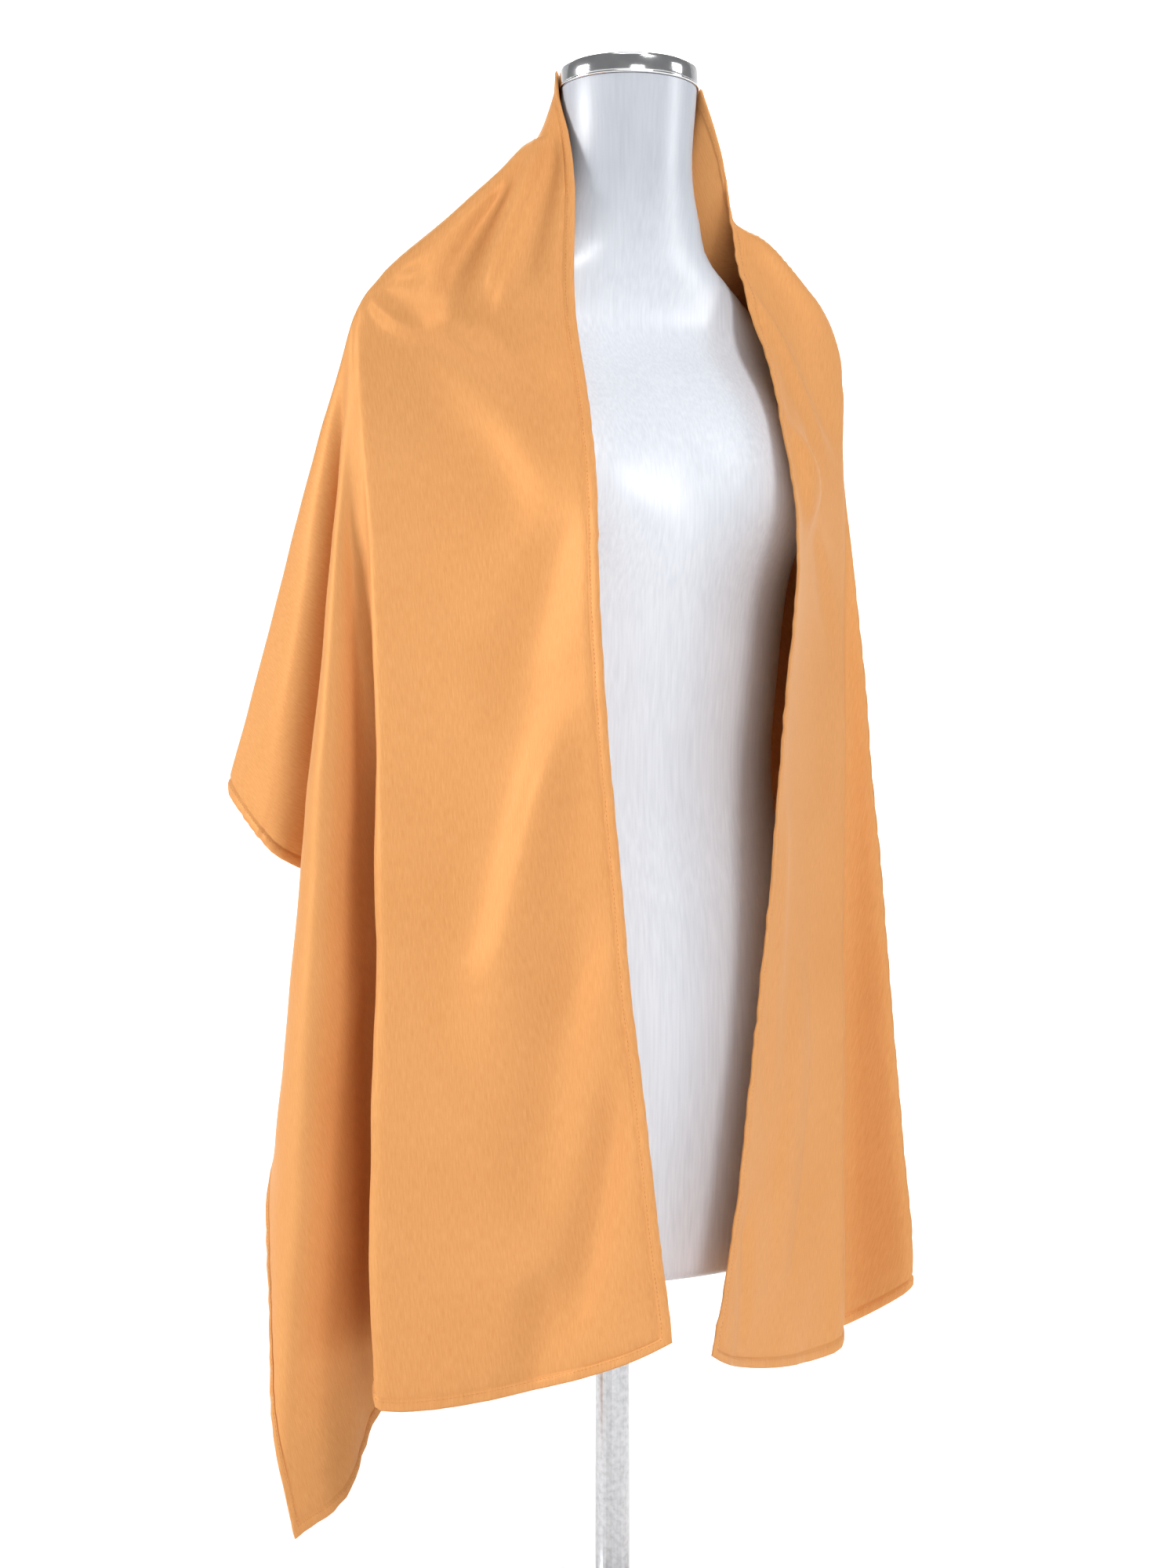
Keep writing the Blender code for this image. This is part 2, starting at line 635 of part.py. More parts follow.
def make_cap(collection):
    """The polished cap on the neck."""
    bottom = FIT_GAP
    top = CAP_HEIGHT
    profile = [
        (0.0, top),
        (CAP_RADIUS - 0.0030, top),
        (CAP_RADIUS - 0.0008, top - 0.0008),
        (CAP_RADIUS, top - 0.0026),
        (CAP_RADIUS, bottom),
        (0.0, bottom),
    ]
    place = (0.0, NECK_LEAN, NECK_TOP)
    turned("neck_cap", profile, 48, collection, make_material("chrome"), place)


def make_stand(collection):
    """Round base, its boss, the pole, and the flange under the form."""
    steel = make_material("steel")
    base = [
        (0.0, BASE_THICKNESS),
        (BASE_RADIUS - 0.004, BASE_THICKNESS),
        (BASE_RADIUS, BASE_THICKNESS - 0.004),
        (BASE_RADIUS, 0.0),
        (0.0, 0.0),
    ]
    turned("stand_base", base, BASE_SIDES, collection, steel)
    boss_low = BASE_THICKNESS + FIT_GAP
    boss_top = boss_low + BOSS_HEIGHT
    boss = [
        (0.0, boss_top),
        (BOSS_RADIUS - 0.003, boss_top),
        (BOSS_FOOT, boss_low),
        (0.0, boss_low),
    ]
    turned("stand_boss", boss, 32, collection, steel)
    pole_low = boss_top + FIT_GAP
    flange_low = FORM_BOTTOM - FIT_GAP - FLANGE_THICKNESS
    pole_high = flange_low - FIT_GAP
    pole = [(0.0, pole_high), (POLE_RADIUS, pole_high), (POLE_RADIUS, pole_low), (0.0, pole_low)]
    turned("stand_pole", pole, 32, collection, steel)
    flange = [
        (0.0, flange_low + FLANGE_THICKNESS),
        (FLANGE_RADIUS, flange_low + FLANGE_THICKNESS),
        (FLANGE_RADIUS, flange_low + 0.003),
        (FLANGE_RADIUS - 0.003, flange_low),
        (0.0, flange_low),
    ]
    turned("form_flange", flange, 40, collection, steel)


def main():
    for old in list(bpy.data.objects):
        bpy.data.objects.remove(old)
    collection = bpy.data.collections.new("evening_stole")
    bpy.context.scene.collection.children.link(collection)
    make_stand(collection)
    make_form(collection)
    make_cap(collection)
    make_stole(collection)


main()
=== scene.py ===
"""Finishes the evening stole and its dress form for pictures.

The stole is laid again over the form from its flat cut, finer than in the solids, with its
creases, turned hems and stitches. Units are metres, +Z is up and the form faces -Y.
"""

import json
import math
from collections import namedtuple

import bmesh
import bpy
import numpy as np
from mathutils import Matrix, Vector

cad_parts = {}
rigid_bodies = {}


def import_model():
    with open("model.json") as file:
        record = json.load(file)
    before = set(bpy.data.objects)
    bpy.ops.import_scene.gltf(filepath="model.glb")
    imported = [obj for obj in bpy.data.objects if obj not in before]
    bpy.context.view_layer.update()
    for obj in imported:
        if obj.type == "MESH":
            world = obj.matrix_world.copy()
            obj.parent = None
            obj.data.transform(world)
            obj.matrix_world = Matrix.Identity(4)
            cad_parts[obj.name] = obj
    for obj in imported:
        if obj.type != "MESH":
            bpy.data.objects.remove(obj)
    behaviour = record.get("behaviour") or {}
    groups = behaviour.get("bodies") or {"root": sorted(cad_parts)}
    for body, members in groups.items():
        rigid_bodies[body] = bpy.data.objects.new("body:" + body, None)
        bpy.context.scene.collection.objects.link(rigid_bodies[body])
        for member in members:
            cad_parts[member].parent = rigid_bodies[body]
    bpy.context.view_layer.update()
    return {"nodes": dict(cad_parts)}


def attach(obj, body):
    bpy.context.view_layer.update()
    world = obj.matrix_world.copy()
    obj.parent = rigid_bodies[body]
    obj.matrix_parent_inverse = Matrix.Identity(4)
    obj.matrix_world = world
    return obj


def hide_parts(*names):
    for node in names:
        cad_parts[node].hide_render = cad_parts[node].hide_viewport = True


# The flat cut of the cloth
CLOTH_WIDTH = 0.61
RIGHT_END = 0.995
LEFT_END = -1.078

# The form's own sizes
FORM_BOTTOM = 0.279
NECK_TOP = 1.1356
NECK_RADIUS = 0.0493
NECK_LEAN = -0.022
BUST_HEIGHT = 0.842
BUST_SPREAD = 0.084
BUST_DEPTH = 0.036
BUST_RADIUS = 0.062
BUST_UPPER_SLOPE = 0.62
BUST_FALL_OFF = 1.6
FORM_LEVELS = 92
FORM_SIDES = 96
FORM_PLAIN_FROM = 0.012
CAP_RADIUS = 0.0507
CAP_HEIGHT = 0.0155
CAP_SIDES = 96
COLLAR_RADIUS = 0.0530
FORM_CLEARANCE = 0.0036
FIT_GAP = 0.0003

# Spacing of the laid cloth and of the finished one
LAY_STEP = 0.0080
FRONT_COLUMNS = 26
FAN_COLUMNS = 56
FINE_STEP = 0.0045
CALM_STEP = 0.0084
CREASED_ALONG = (-0.48, 0.42)
CREASED_ACROSS = (0.0, 0.20)
HEM_STATIONS = [0.0, 0.0012, 0.0034, 0.0052, 0.0065, 0.0077, 0.0088, 0.0102, 0.0125]

# The turned hem and the cloth itself
SHELL = 0.0007
HEM_SHELL = 0.0022
HEM_STEP = (0.0092, 0.0076)
HEM_DITCH = 0.0003
DITCH_FROM_EDGE = 0.0104
DITCH_WIDTH = 0.0016
EDGE_THINNED = 0.45
EDGE_ROUND = (-0.0004, 0.0016)
STITCH_FROM_EDGE = 0.0065
STITCH_DIP = 0.0005
STITCH_DIP_WIDTH = 0.0008
HEM_SEAM = 0.0088
HEM_GROOVE = 0.0009
HEM_GROOVE_WIDTH = 0.0017
PUCKER_REACH = 0.022
WAVE_REACH = 0.05
END_WAVE_REACH = 0.06
COLLAR_CALM = 0.05
COLLAR_KEEPS = 0.2

# Slight unevenness of the cloth: its height, its length, and its seed
Ripple = namedtuple("Ripple", "height length seed")
BROAD_RIPPLE = Ripple(0.0006, 0.16, 3)
FINE_RIPPLE = Ripple(0.00022, 0.05, 8)
EDGE_PUCKER = Ripple(0.000672, 0.016, 21)
END_PUCKER = Ripple(0.000672, 0.016, 34)
EDGE_WAVE = Ripple(0.0028, 0.12, 40)
END_WAVE = Ripple(0.0028, 0.11, 47)
PUCKER_STRETCH = 0.15
RIPPLE_WAVES = 9

# Machine stitches along the hem
STITCH_LENGTH = 0.0021
STITCH_PITCH = 0.0031
THREAD_RADIUS = 0.00021
THREAD_LIFT = 0.25

# A crease is narrow where it starts, and rises and fades over these shares of its length
CREASE_NARROW = 0.75
CREASE_WIDENS = 0.5
CREASE_RISE = (-0.04, 0.26)
CREASE_FADE = (1.08, 0.70)

# The camera and the colours
VIEW_TURN = math.radians(33)
VIEW_FROM = (-1.0499, -1.5837, 0.63)
VIEW_LENS = 59.22
SATIN_DEEP = (0.615, 0.270, 0.088)
SATIN_LIGHT = (0.738, 0.364, 0.140)
THREAD_DEEP = (0.42, 0.15, 0.03)
THREAD_LIGHT = (0.66, 0.27, 0.07)
FORM_DEEP = (0.62, 0.655, 0.72)
FORM_LIGHT = (0.74, 0.775, 0.835)
# Painted shade: the form's cover is mixed towards this darker grey up the neck, standing in for shade
# there.
FORM_NECK_PAINTED_SHADE = (0.29, 0.31, 0.355)
CHROME_DEEP = (0.80, 0.81, 0.84)
CHROME_LIGHT = (0.92, 0.93, 0.94)
STEEL_DEEP = (0.42, 0.43, 0.45)
STEEL_LIGHT = (0.66, 0.67, 0.69)

# The studio: its floor, the sweep up into its backdrop, and the point its lights turn round
FLOOR_FRONT = 4.0
FLOOR_BACK = 2.2
FLOOR_WIDTH = 12.0
SWEEP_RADIUS = 1.4
SWEEP_STEPS = 12
BACKDROP_HEIGHT = 5.0
STUDIO_MIDDLE = (0.0, 0.0, 0.65)

# Creases of the cloth on its flat cut: where each starts and ends, how far it bows aside,
# its half width, and its height, plus for a ridge and minus for a trough
Crease = namedtuple("Crease", "along across to_along to_across bend width height")
CREASES = [
    Crease(0.072, 0.020, 0.230, 0.182, 0.0, 0.0160, 0.0070),
    Crease(-0.206, 0.006, -0.300, 0.132, 0.0, 0.0140, 0.0060),
    Crease(0.092, 0.012, 0.236, 0.040, 0.002, 0.0100, -0.0034),
    Crease(0.092, 0.031, 0.262, 0.082, 0.002, 0.0085, 0.0080),
    Crease(0.122, 0.058, 0.246, 0.108, 0.002, 0.0110, -0.0052),
    Crease(0.222, 0.172, 0.272, 0.112, 0.002, 0.0070, -0.0026),
    Crease(0.226, 0.176, 0.262, 0.156, 0.001, 0.0050, 0.0014),
    Crease(0.214, 0.170, 0.212, 0.120, 0.001, 0.0070, -0.0016),
    Crease(0.226, 0.180, 0.290, 0.196, 0.001, 0.0060, -0.0014),
    Crease(0.238, 0.124, 0.338, 0.006, -0.010, 0.0210, -0.0050),
    Crease(0.250, 0.152, 0.380, 0.034, -0.014, 0.0180, 0.0048),
    Crease(0.290, 0.150, 0.420, 0.060, -0.010, 0.0200, -0.0030),
    Crease(0.540, 0.034, 0.760, 0.122, 0.004, 0.0240, 0.0095),
    Crease(0.660, 0.024, 0.880, 0.100, 0.004, 0.0240, -0.0085),
    Crease(0.400, 0.020, 0.560, 0.085, 0.006, 0.0260, -0.0050),
    Crease(0.780, 0.018, 0.975, 0.090, -0.004, 0.0170, -0.0095),
    Crease(0.900, 0.090, 1.010, 0.110, 0.002, 0.0160, -0.0056),
    Crease(-0.250, -0.002, -0.404, 0.128, 0.015, 0.0085, 0.0062),
    Crease(-0.350, 0.006, -0.500, 0.140, 0.010, 0.0100, 0.0036),
    Crease(-0.286, 0.056, -0.400, 0.140, 0.010, 0.0130, -0.0024),
    Crease(-0.210, 0.030, -0.310, 0.110, 0.004, 0.0120, 0.0040),
    Crease(-0.430, 0.070, -0.540, 0.150, 0.004, 0.0140, -0.0044),
    Crease(-0.640, 0.030, -0.900, 0.070, 0.004, 0.0200, 0.0040),
    Crease(-0.760, 0.110, -1.020, 0.140, 0.004, 0.0240, -0.0040),
    Crease(-0.930, 0.030, -1.080, 0.070, 0.002, 0.0140, -0.0044),
]

Ring = namedtuple("Ring", "height half_width front_depth back_depth middle_y")
FORM_RINGS = [
    Ring(0.279, 0.146, 0.092, 0.108, 0.0),
    Ring(0.360, 0.155, 0.098, 0.118, 0.0),
    Ring(0.440, 0.160, 0.102, 0.124, 0.0),
    Ring(0.530, 0.150, 0.098, 0.110, 0.0),
    Ring(0.635, 0.131, 0.086, 0.088, 0.0),
    Ring(0.735, 0.138, 0.092, 0.094, 0.0),
    Ring(0.830, 0.148, 0.096, 0.106, 0.0),
    Ring(0.900, 0.160, 0.080, 0.099, 0.0),
    Ring(0.925, 0.164, 0.065, 0.082, 0.0),
    Ring(0.945, 0.162, 0.051, 0.072, 0.0),
    Ring(0.962, 0.147, 0.045, 0.060, -0.001),
    Ring(0.980, 0.124, 0.044, 0.054, -0.004),
    Ring(1.000, 0.096, 0.046, 0.044, -0.007),
    Ring(1.016, 0.074, 0.047, 0.046, -0.009),
    Ring(1.043, 0.060, 0.048, 0.049, -0.013),
    Ring(1.065, 0.051, 0.049, 0.049, -0.016),
    Ring(NECK_TOP, NECK_RADIUS, NECK_RADIUS, NECK_RADIUS, NECK_LEAN),
]

# Rounding of the form's lower edge: rise over its underside, and pull towards the middle
Rounding = namedtuple("Rounding", "rise pull")
FORM_ROUNDING = [
    Rounding(0.0, 0.006),
    Rounding(0.0012, 0.0025),
    Rounding(0.0035, 0.0007),
    Rounding(0.007, 0.0),
]

EdgePoint = namedtuple("EdgePoint", "along x y height")
RIGHT_EDGE = [
    EdgePoint(0.065, -0.0482, 0.0000, 1.1385),
    EdgePoint(0.120, -0.052, -0.027, 1.086),
    EdgePoint(0.240, -0.076, -0.066, 0.972),
    EdgePoint(0.370, -0.103, -0.134, 0.852),
    EdgePoint(0.500, -0.106, -0.146, 0.728),
    EdgePoint(0.640, -0.096, -0.151, 0.590),
    EdgePoint(0.760, -0.086, -0.156, 0.472),
    EdgePoint(0.880, -0.071, -0.160, 0.348),
    EdgePoint(0.995, -0.0605, -0.1634, 0.2550),
]
LEFT_EDGE = [
    EdgePoint(0.150, 0.067, -0.043, 1.100),
    EdgePoint(0.200, 0.087, -0.028, 1.059),
    EdgePoint(0.265, 0.079, -0.052, 0.994),
    EdgePoint(0.320, 0.081, -0.080, 0.944),
    EdgePoint(0.370, 0.071, -0.112, 0.890),
    EdgePoint(0.440, 0.065, -0.137, 0.828),
    EdgePoint(0.610, 0.050, -0.141, 0.665),
    EdgePoint(0.815, 0.029, -0.139, 0.464),
    EdgePoint(1.000, 0.003, -0.139, 0.292),
    EdgePoint(1.078, -0.008, -0.138, 0.235),
]

# The crest of each shoulder, from where it leaves the neck edge to the tip of the shoulder
CrestPoint = namedtuple("CrestPoint", "share x y height")
RIGHT_CREST = [
    CrestPoint(0.230, -0.0615, 0.0015, 1.1065),
    CrestPoint(0.550, -0.1200, 0.0034, 1.0495),
    CrestPoint(0.910, -0.1945, 0.0034, 0.9880),
    CrestPoint(1.000, -0.2118, 0.0029, 0.9765),
]
LEFT_CREST = [
    CrestPoint(0.240, 0.1165, -0.0217, 1.0540),
    CrestPoint(0.480, 0.1500, -0.0130, 1.0355),
    CrestPoint(0.800, 0.1925, -0.0040, 1.0090),
    CrestPoint(1.000, 0.2165, -0.0009, 0.9900),
]

# Folds hang from the tip of each shoulder like the ribs of a half-closed fan. The flat angle
# is counted on the cut, from the end of the stole towards its lower edge, lean is sideways
# per unit of length, reach is the share of the flat length that the fold still shows,
# open_by is how far from the shoulder the fold has opened fully, and bow is how far it
# bows towards +X on its way down.
Fold = namedtuple("Fold", "flat_angle lean_x lean_y reach open_by bow")
BOW_LENGTH = 0.64
RIGHT_FOLDS = {
    "ridge": Fold(4.2, 0.015, -0.004, 1.009, 0.30, 0.010),
    "ridge_back": Fold(6.2, 0.030, 0.022, 0.992, 0.34, 0.010),
    "pleat": Fold(9.4, 0.066, 0.040, 0.980, 0.40, 0.008),
    "valley": Fold(13.2, 0.116, 0.070, 0.970, 0.44, 0.004),
    "valley_back": Fold(17.2, 0.132, 0.106, 0.970, 0.44, 0.0),
    "pleat_out": Fold(21.8, 0.0811, 0.1174, 0.990, 0.40, 0.0),
    "tail": Fold(26.0, 0.0384, 0.0893, 1.014, 0.30, 0.0),
    "tail_corner": Fold(29.6, -0.0156, 0.0778, 0.999, 0.24, 0.0),
    "tail_side": Fold(34.5, -0.0338, 0.1095, 0.990, 0.24, 0.0),
    "tail_back": Fold(42.0, -0.002, 0.185, 0.960, 0.24, 0.0),
    "inner_valley": Fold(53.0, 0.195, 0.235, 0.920, 0.24, 0.0),
    "valley_turn": Fold(58.0, 0.200, 0.275, 0.920, 0.24, 0.0),
    "wing_front": Fold(74.0, 0.005, 0.318, 0.925, 0.24, 0.0),
    "wing": Fold(90.0, -0.022, 0.497, 0.912, 0.24, 0.0),
}
LEFT_FOLDS = {
    "ridge": Fold(9.9, -0.0072, -0.0093, 1.004, 0.24, 0.0),
    "ridge_back": Fold(11.6, 0.020, 0.025, 0.990, 0.24, 0.0),
    "valley": Fold(15.4, 0.060, 0.075, 0.990, 0.24, 0.0),
    "crest": Fold(19.6, 0.118, 0.024, 0.926, 0.24, 0.0),
    "crest_side": Fold(22.5, 0.122, 0.089, 0.926, 0.24, 0.0),
    "tail_corner": Fold(31.5, 0.088, 0.190, 0.940, 0.24, 0.0),
    "tail_back": Fold(41.0, 0.058, 0.245, 0.930, 0.24, 0.0),
    "inner_valley": Fold(52.0, -0.170, 0.240, 0.920, 0.24, 0.0),
    "valley_turn": Fold(58.0, -0.175, 0.290, 0.920, 0.24, 0.0),
    "wing_front": Fold(73.0, 0.000, 0.350, 0.920, 0.24, 0.0),
    "wing": Fold(90.0, 0.040, 0.510, 0.910, 0.24, 0.0),
}

# One side of the stole: the tip of the shoulder and where it sits on the cut, where the
# crest of the shoulder leaves the neck edge, and that side's tables.
Side = namedtuple("Side", "tip tip_along tip_across leave_along edge crest folds")
RIGHT = Side(
    RIGHT_CREST[-1][1:], 0.222, 0.174, 0.051, RIGHT_EDGE, RIGHT_CREST, RIGHT_FOLDS
)
LEFT = Side(LEFT_CREST[-1][1:], 0.295, 0.125, 0.200, LEFT_EDGE, LEFT_CREST, LEFT_FOLDS)
CREST_MARGIN = 0.040
FOLD_START = 0.02

# Rounding of the laid cloth: how strongly, how often, and how much less at the front ridges
SOFTEN_STRENGTH = 0.6
SOFTEN_ROUNDS = 5
SHOULDER_ROUNDS = 9
RIDGE_SOFTNESS = {-1: 0.55, 0: 0.22, 1: 0.55}

# The collar stands round the back of the neck between these two flat measures.
COLLAR_RIGHT = 0.051
COLLAR_LEFT = -0.110
COLLAR_HEIGHT_RIGHT = 1.1510
COLLAR_HEIGHT_LEFT = 1.1380

# The lower edge behind the form, between the two wings, and the bow of the cloth there
BACK_HEM = [
    EdgePoint(-0.200, 0.150, 0.190, 0.585),
    EdgePoint(-0.100, 0.078, 0.158, 0.568),
    EdgePoint(0.000, 0.000, 0.176, 0.560),
    EdgePoint(0.110, -0.105, 0.158, 0.580),
]
BACK_BOW = 0.040

# How far a front panel bows outwards, and how far its lower end sags, at the most
PANEL_BOW = 0.008
PANEL_SAG = 0.013
SAG_STEEPNESS = 0.6


def smooth_curve(keys, values, at):
    """Reads a smooth curve through the rows (keys, values) at new keys."""
    keys = np.asarray(keys, float)
    values = np.asarray(values, float)
    at = np.clip(np.asarray(at, float), keys[0], keys[-1])
    steps = np.diff(keys)[:, None]
    chords = np.diff(values, axis=0) / steps
    slopes = np.empty_like(values)
    slopes[0], slopes[-1] = chords[0], chords[-1]
    slopes[1:-1] = (chords[1:] * steps[:-1] + chords[:-1] * steps[1:]) / (steps[1:] + steps[:-1])
    i = np.clip(np.searchsorted(keys, at, side="right") - 1, 0, len(keys) - 2)
    h = steps[i]
    k = ((at - keys[i])[..., None]) / h
    return (
        values[i] * (2 * k**3 - 3 * k**2 + 1)
        + values[i + 1] * (3 * k**2 - 2 * k**3)
        + slopes[i] * h * (k**3 - 2 * k**2 + k)
        + slopes[i + 1] * h * (k**3 - k**2)
    )


def ease(low, high, value):
    """Rises smoothly from 0 at low to 1 at high."""
    k = np.clip((value - low) / (high - low), 0.0, 1.0)
    return k * k * (3 - 2 * k)


def form_ring(height):
    """Half width, front depth, back depth and middle of the form at a height."""
    rows = np.array(FORM_RINGS, float)
    return np.moveaxis(smooth_curve(rows[:, 0], rows[:, 1:], height), -1, 0)


def form_reach(angle, height):
    """How far the form's surface is from its middle line, in a direction and at a height."""
    half_width, front, back, _ = form_ring(height)
    c, s = np.cos(angle), np.sin(angle)
    depth = np.where(s < 0, front, back)
    reach = 1 / np.sqrt((c / half_width) ** 2 + (s / depth) ** 2)
    bust = 0.0
    for side in (-1, 1):
        off_x = reach * c - side * BUST_SPREAD
        off_z = height - BUST_HEIGHT
        off_z = np.where(off_z > 0, off_z * BUST_UPPER_SLOPE, off_z)
        near = (off_x**2 + off_z**2) / BUST_RADIUS**2
        bust = bust + BUST_DEPTH * np.exp(-BUST_FALL_OFF * near) * np.clip(-s, 0, 1) ** 0.5
    return reach + bust


def rest_on_form(points):
    """Moves any cloth point that would be inside the form out to just clear of it."""
    x, y, z = points[..., 0], points[..., 1], points[..., 2]
    height = np.clip(z, FORM_BOTTOM, NECK_TOP)
    middle = form_ring(height)[3]
    angle = np.arctan2(y - middle, x)
    needed = form_reach(angle, height) + FORM_CLEARANCE
    distance = np.hypot(x, y - middle)
    grown = np.where((distance < needed) & (z > FORM_BOTTOM - 0.01), needed / distance, 1.0)
    out = points.copy()
    out[..., 0] = x * grown
    out[..., 1] = middle + (y - middle) * grown
    return out


def collar_points(along):
    """The neck edge where it stands round the back of the neck."""
    turn = along / COLLAR_RADIUS
    share = (along - COLLAR_LEFT) / (COLLAR_RIGHT - COLLAR_LEFT)
    height = COLLAR_HEIGHT_LEFT + (COLLAR_HEIGHT_RIGHT - COLLAR_HEIGHT_LEFT) * share
    x, y = -COLLAR_RADIUS * np.sin(turn), NECK_LEAN + COLLAR_RADIUS * np.cos(turn)
    return np.stack([x, y, height], -1)


def neck_edge(along):
    """The neck edge of the cloth in space, at flat measures along it."""
    collar = collar_points(along)
    right = np.array([(COLLAR_RIGHT, *collar_points(COLLAR_RIGHT)), *RIGHT_EDGE])
    left = np.array([(-COLLAR_LEFT, *collar_points(COLLAR_LEFT)), *LEFT_EDGE])
    right_side = smooth_curve(right[:, 0], right[:, 1:], along)
    left_side = smooth_curve(left[:, 0], left[:, 1:], -along)
    out = np.where((along > COLLAR_RIGHT)[..., None], right_side, collar)
    return np.where((along < COLLAR_LEFT)[..., None], left_side, out)


def hang(side, flat_angle, length):
    """Points on the folds that hang from a shoulder tip."""
    rows = np.array(list(side.folds.values()), float)
    read = smooth_curve(rows[:, 0], rows[:, 1:], flat_angle)
    opened = ease(FOLD_START, read[..., 3], length)
    calm = smooth_curve(rows[[0, -1], 0], rows[[0, -1], 1:3], flat_angle)
    lean = calm + (read[..., :2] - calm) * opened[..., None]
    down = -np.sqrt(np.clip(1 - (lean**2).sum(-1), 0.05, 1))
    direction = np.concatenate([lean, down[..., None]], -1)
    out = np.array(side.tip) + direction * (length * read[..., 2])[..., None]
    out[..., 0] += read[..., 4] * np.sin(math.pi * np.clip(length / BOW_LENGTH, 0, 1))
    return out


def shoulder_line(side, along):
    """Flat measure across where the front panel ends: shoulder crest, then front ridge."""
    share = (along - side.leave_along) / (side.tip_along - side.leave_along)
    crest = side.tip_across * np.clip(share, 0, 1)
    slope = math.tan(math.radians(side.folds["ridge"].flat_angle))
    return crest + np.maximum(along - side.tip_along, 0) * slope


def crest_points(side, sign, share):
    """The crest of the shoulder, from the neck edge to its tip."""
    start = neck_edge(np.array(sign * side.leave_along))
    rows = np.array([(0.0, *start), *side.crest])
    return smooth_curve(rows[:, 0], rows[:, 1:], share)


def front_panel(side, sign, along, across):
    """The panel between the neck edge and the shoulder crest or the front ridge."""
    edge = neck_edge(sign * along)
    line = np.maximum(shoulder_line(side, along), 1e-6)
    share = np.clip(across / line, 0, 1)
    up = np.clip((along - side.leave_along) / (side.tip_along - side.leave_along), 0, 1)
    crest = crest_points(side, sign, up)
    ridge_angle = np.full_like(along, side.folds["ridge"].flat_angle)
    below = np.hypot(along - side.tip_along, line - side.tip_across)
    ridge = hang(side, ridge_angle, below)
    outer = np.where((along > side.tip_along)[..., None], ridge, crest)
    chord = outer - edge
    outward = np.stack([chord[..., 1], -chord[..., 0], 0 * along], -1) * sign
    outward /= np.maximum(np.linalg.norm(outward, axis=-1, keepdims=True), 1e-9)
    hump = np.clip(np.sin(math.pi * share), 0, 1)
    bow = PANEL_BOW * hump * ease(side.leave_along, side.tip_along, along)
    sag = PANEL_SAG * hump**SAG_STEEPNESS * ease(side.tip_along, RIGHT_END, along)
    out = edge + chord * share[..., None] + outward * bow[..., None]
    out[..., 2] -= sag
    return out


def back_panel(along, across):
    """The cloth behind the form, from collar and shoulder crests to the lower edge."""
    line = np.zeros_like(along)
    top = neck_edge(along)
    tips = []
    for side, sign in ((RIGHT, 1), (LEFT, -1)):
        here = sign * along
        crest_share = np.clip(
            (here - side.leave_along) / (side.tip_along - side.leave_along), 0, 1
        )
        crest = crest_points(side, sign, crest_share)
        on_crest = here > side.leave_along
        top = np.where(on_crest[..., None], crest, top)
        line = np.where(on_crest, side.tip_across * crest_share, line)
        drop = np.array(CLOTH_WIDTH - side.tip_across)
        tips.append((sign * side.tip_along, *hang(side, np.array(90.0), drop)))
    hem_rows = np.array([tips[1], *BACK_HEM, tips[0]])
    hem = smooth_curve(hem_rows[:, 0], hem_rows[:, 1:], along)
    share = (across - line) / (CLOTH_WIDTH - line)
    reach = np.where(along > 0, along / RIGHT.tip_along, -along / LEFT.tip_along)
    bow = BACK_BOW * np.sin(math.pi * share) * (1 - np.clip(reach, 0, 1) ** 3)
    out = top + (hem - top) * share[..., None]
    out[..., 1] += bow
    return out


def cloth_points(along, across):
    """The stole in space, at flat measures along and across."""
    out = back_panel(along, across)
    for side, sign in ((RIGHT, 1), (LEFT, -1)):
        here = sign * along
        line = shoulder_line(side, here)
        front = (here > side.leave_along) & (across < line)
        fan = (here > side.tip_along) & ~front
        down = np.hypot(here - side.tip_along, across - side.tip_across)
        angle = np.degrees(
            np.arctan2(across - side.tip_across, np.maximum(here - side.tip_along, 1e-9))
        )
        out = np.where(fan[..., None], hang(side, angle, down), out)
        out = np.where(front[..., None], front_panel(side, sign, here, across), out)
    return out


def ridge_across(along):
    """Flat measure across of the column that follows both front ridges."""
    tips = [(-LEFT.tip_along, LEFT.tip_across), (RIGHT.tip_along, RIGHT.tip_across)]
    middle = np.interp(along, [t[0] for t in tips], [t[1] for t in tips])
    right = shoulder_line(RIGHT, along)
    left = shoulder_line(LEFT, -along)
    return np.where(
        along > RIGHT.tip_along, right, np.where(-along > LEFT.tip_along, left, middle)
    )


def soften(points, rounds, keep):
    """Rounds the folds by moving each point part of the way to its neighbours' middle."""
    for _ in range(rounds):
        along_mean = points.copy()
        along_mean[1:-1] = (points[:-2] + points[2:]) / 2
        across_mean = points.copy()
        across_mean[:, 1:-1] = (points[:, :-2] + points[:, 2:]) / 2
        target = (along_mean + across_mean) / 2
        target[:, 0] = along_mean[:, 0]
        target[:, -1] = along_mean[:, -1]
        target[0] = across_mean[0]
        target[-1] = across_mean[-1]
        target[0, [0, -1]] = points[0, [0, -1]]
        target[-1, [0, -1]] = points[-1, [0, -1]]
        points = points + (target - points) * (SOFTEN_STRENGTH * keep[..., None])
    return points


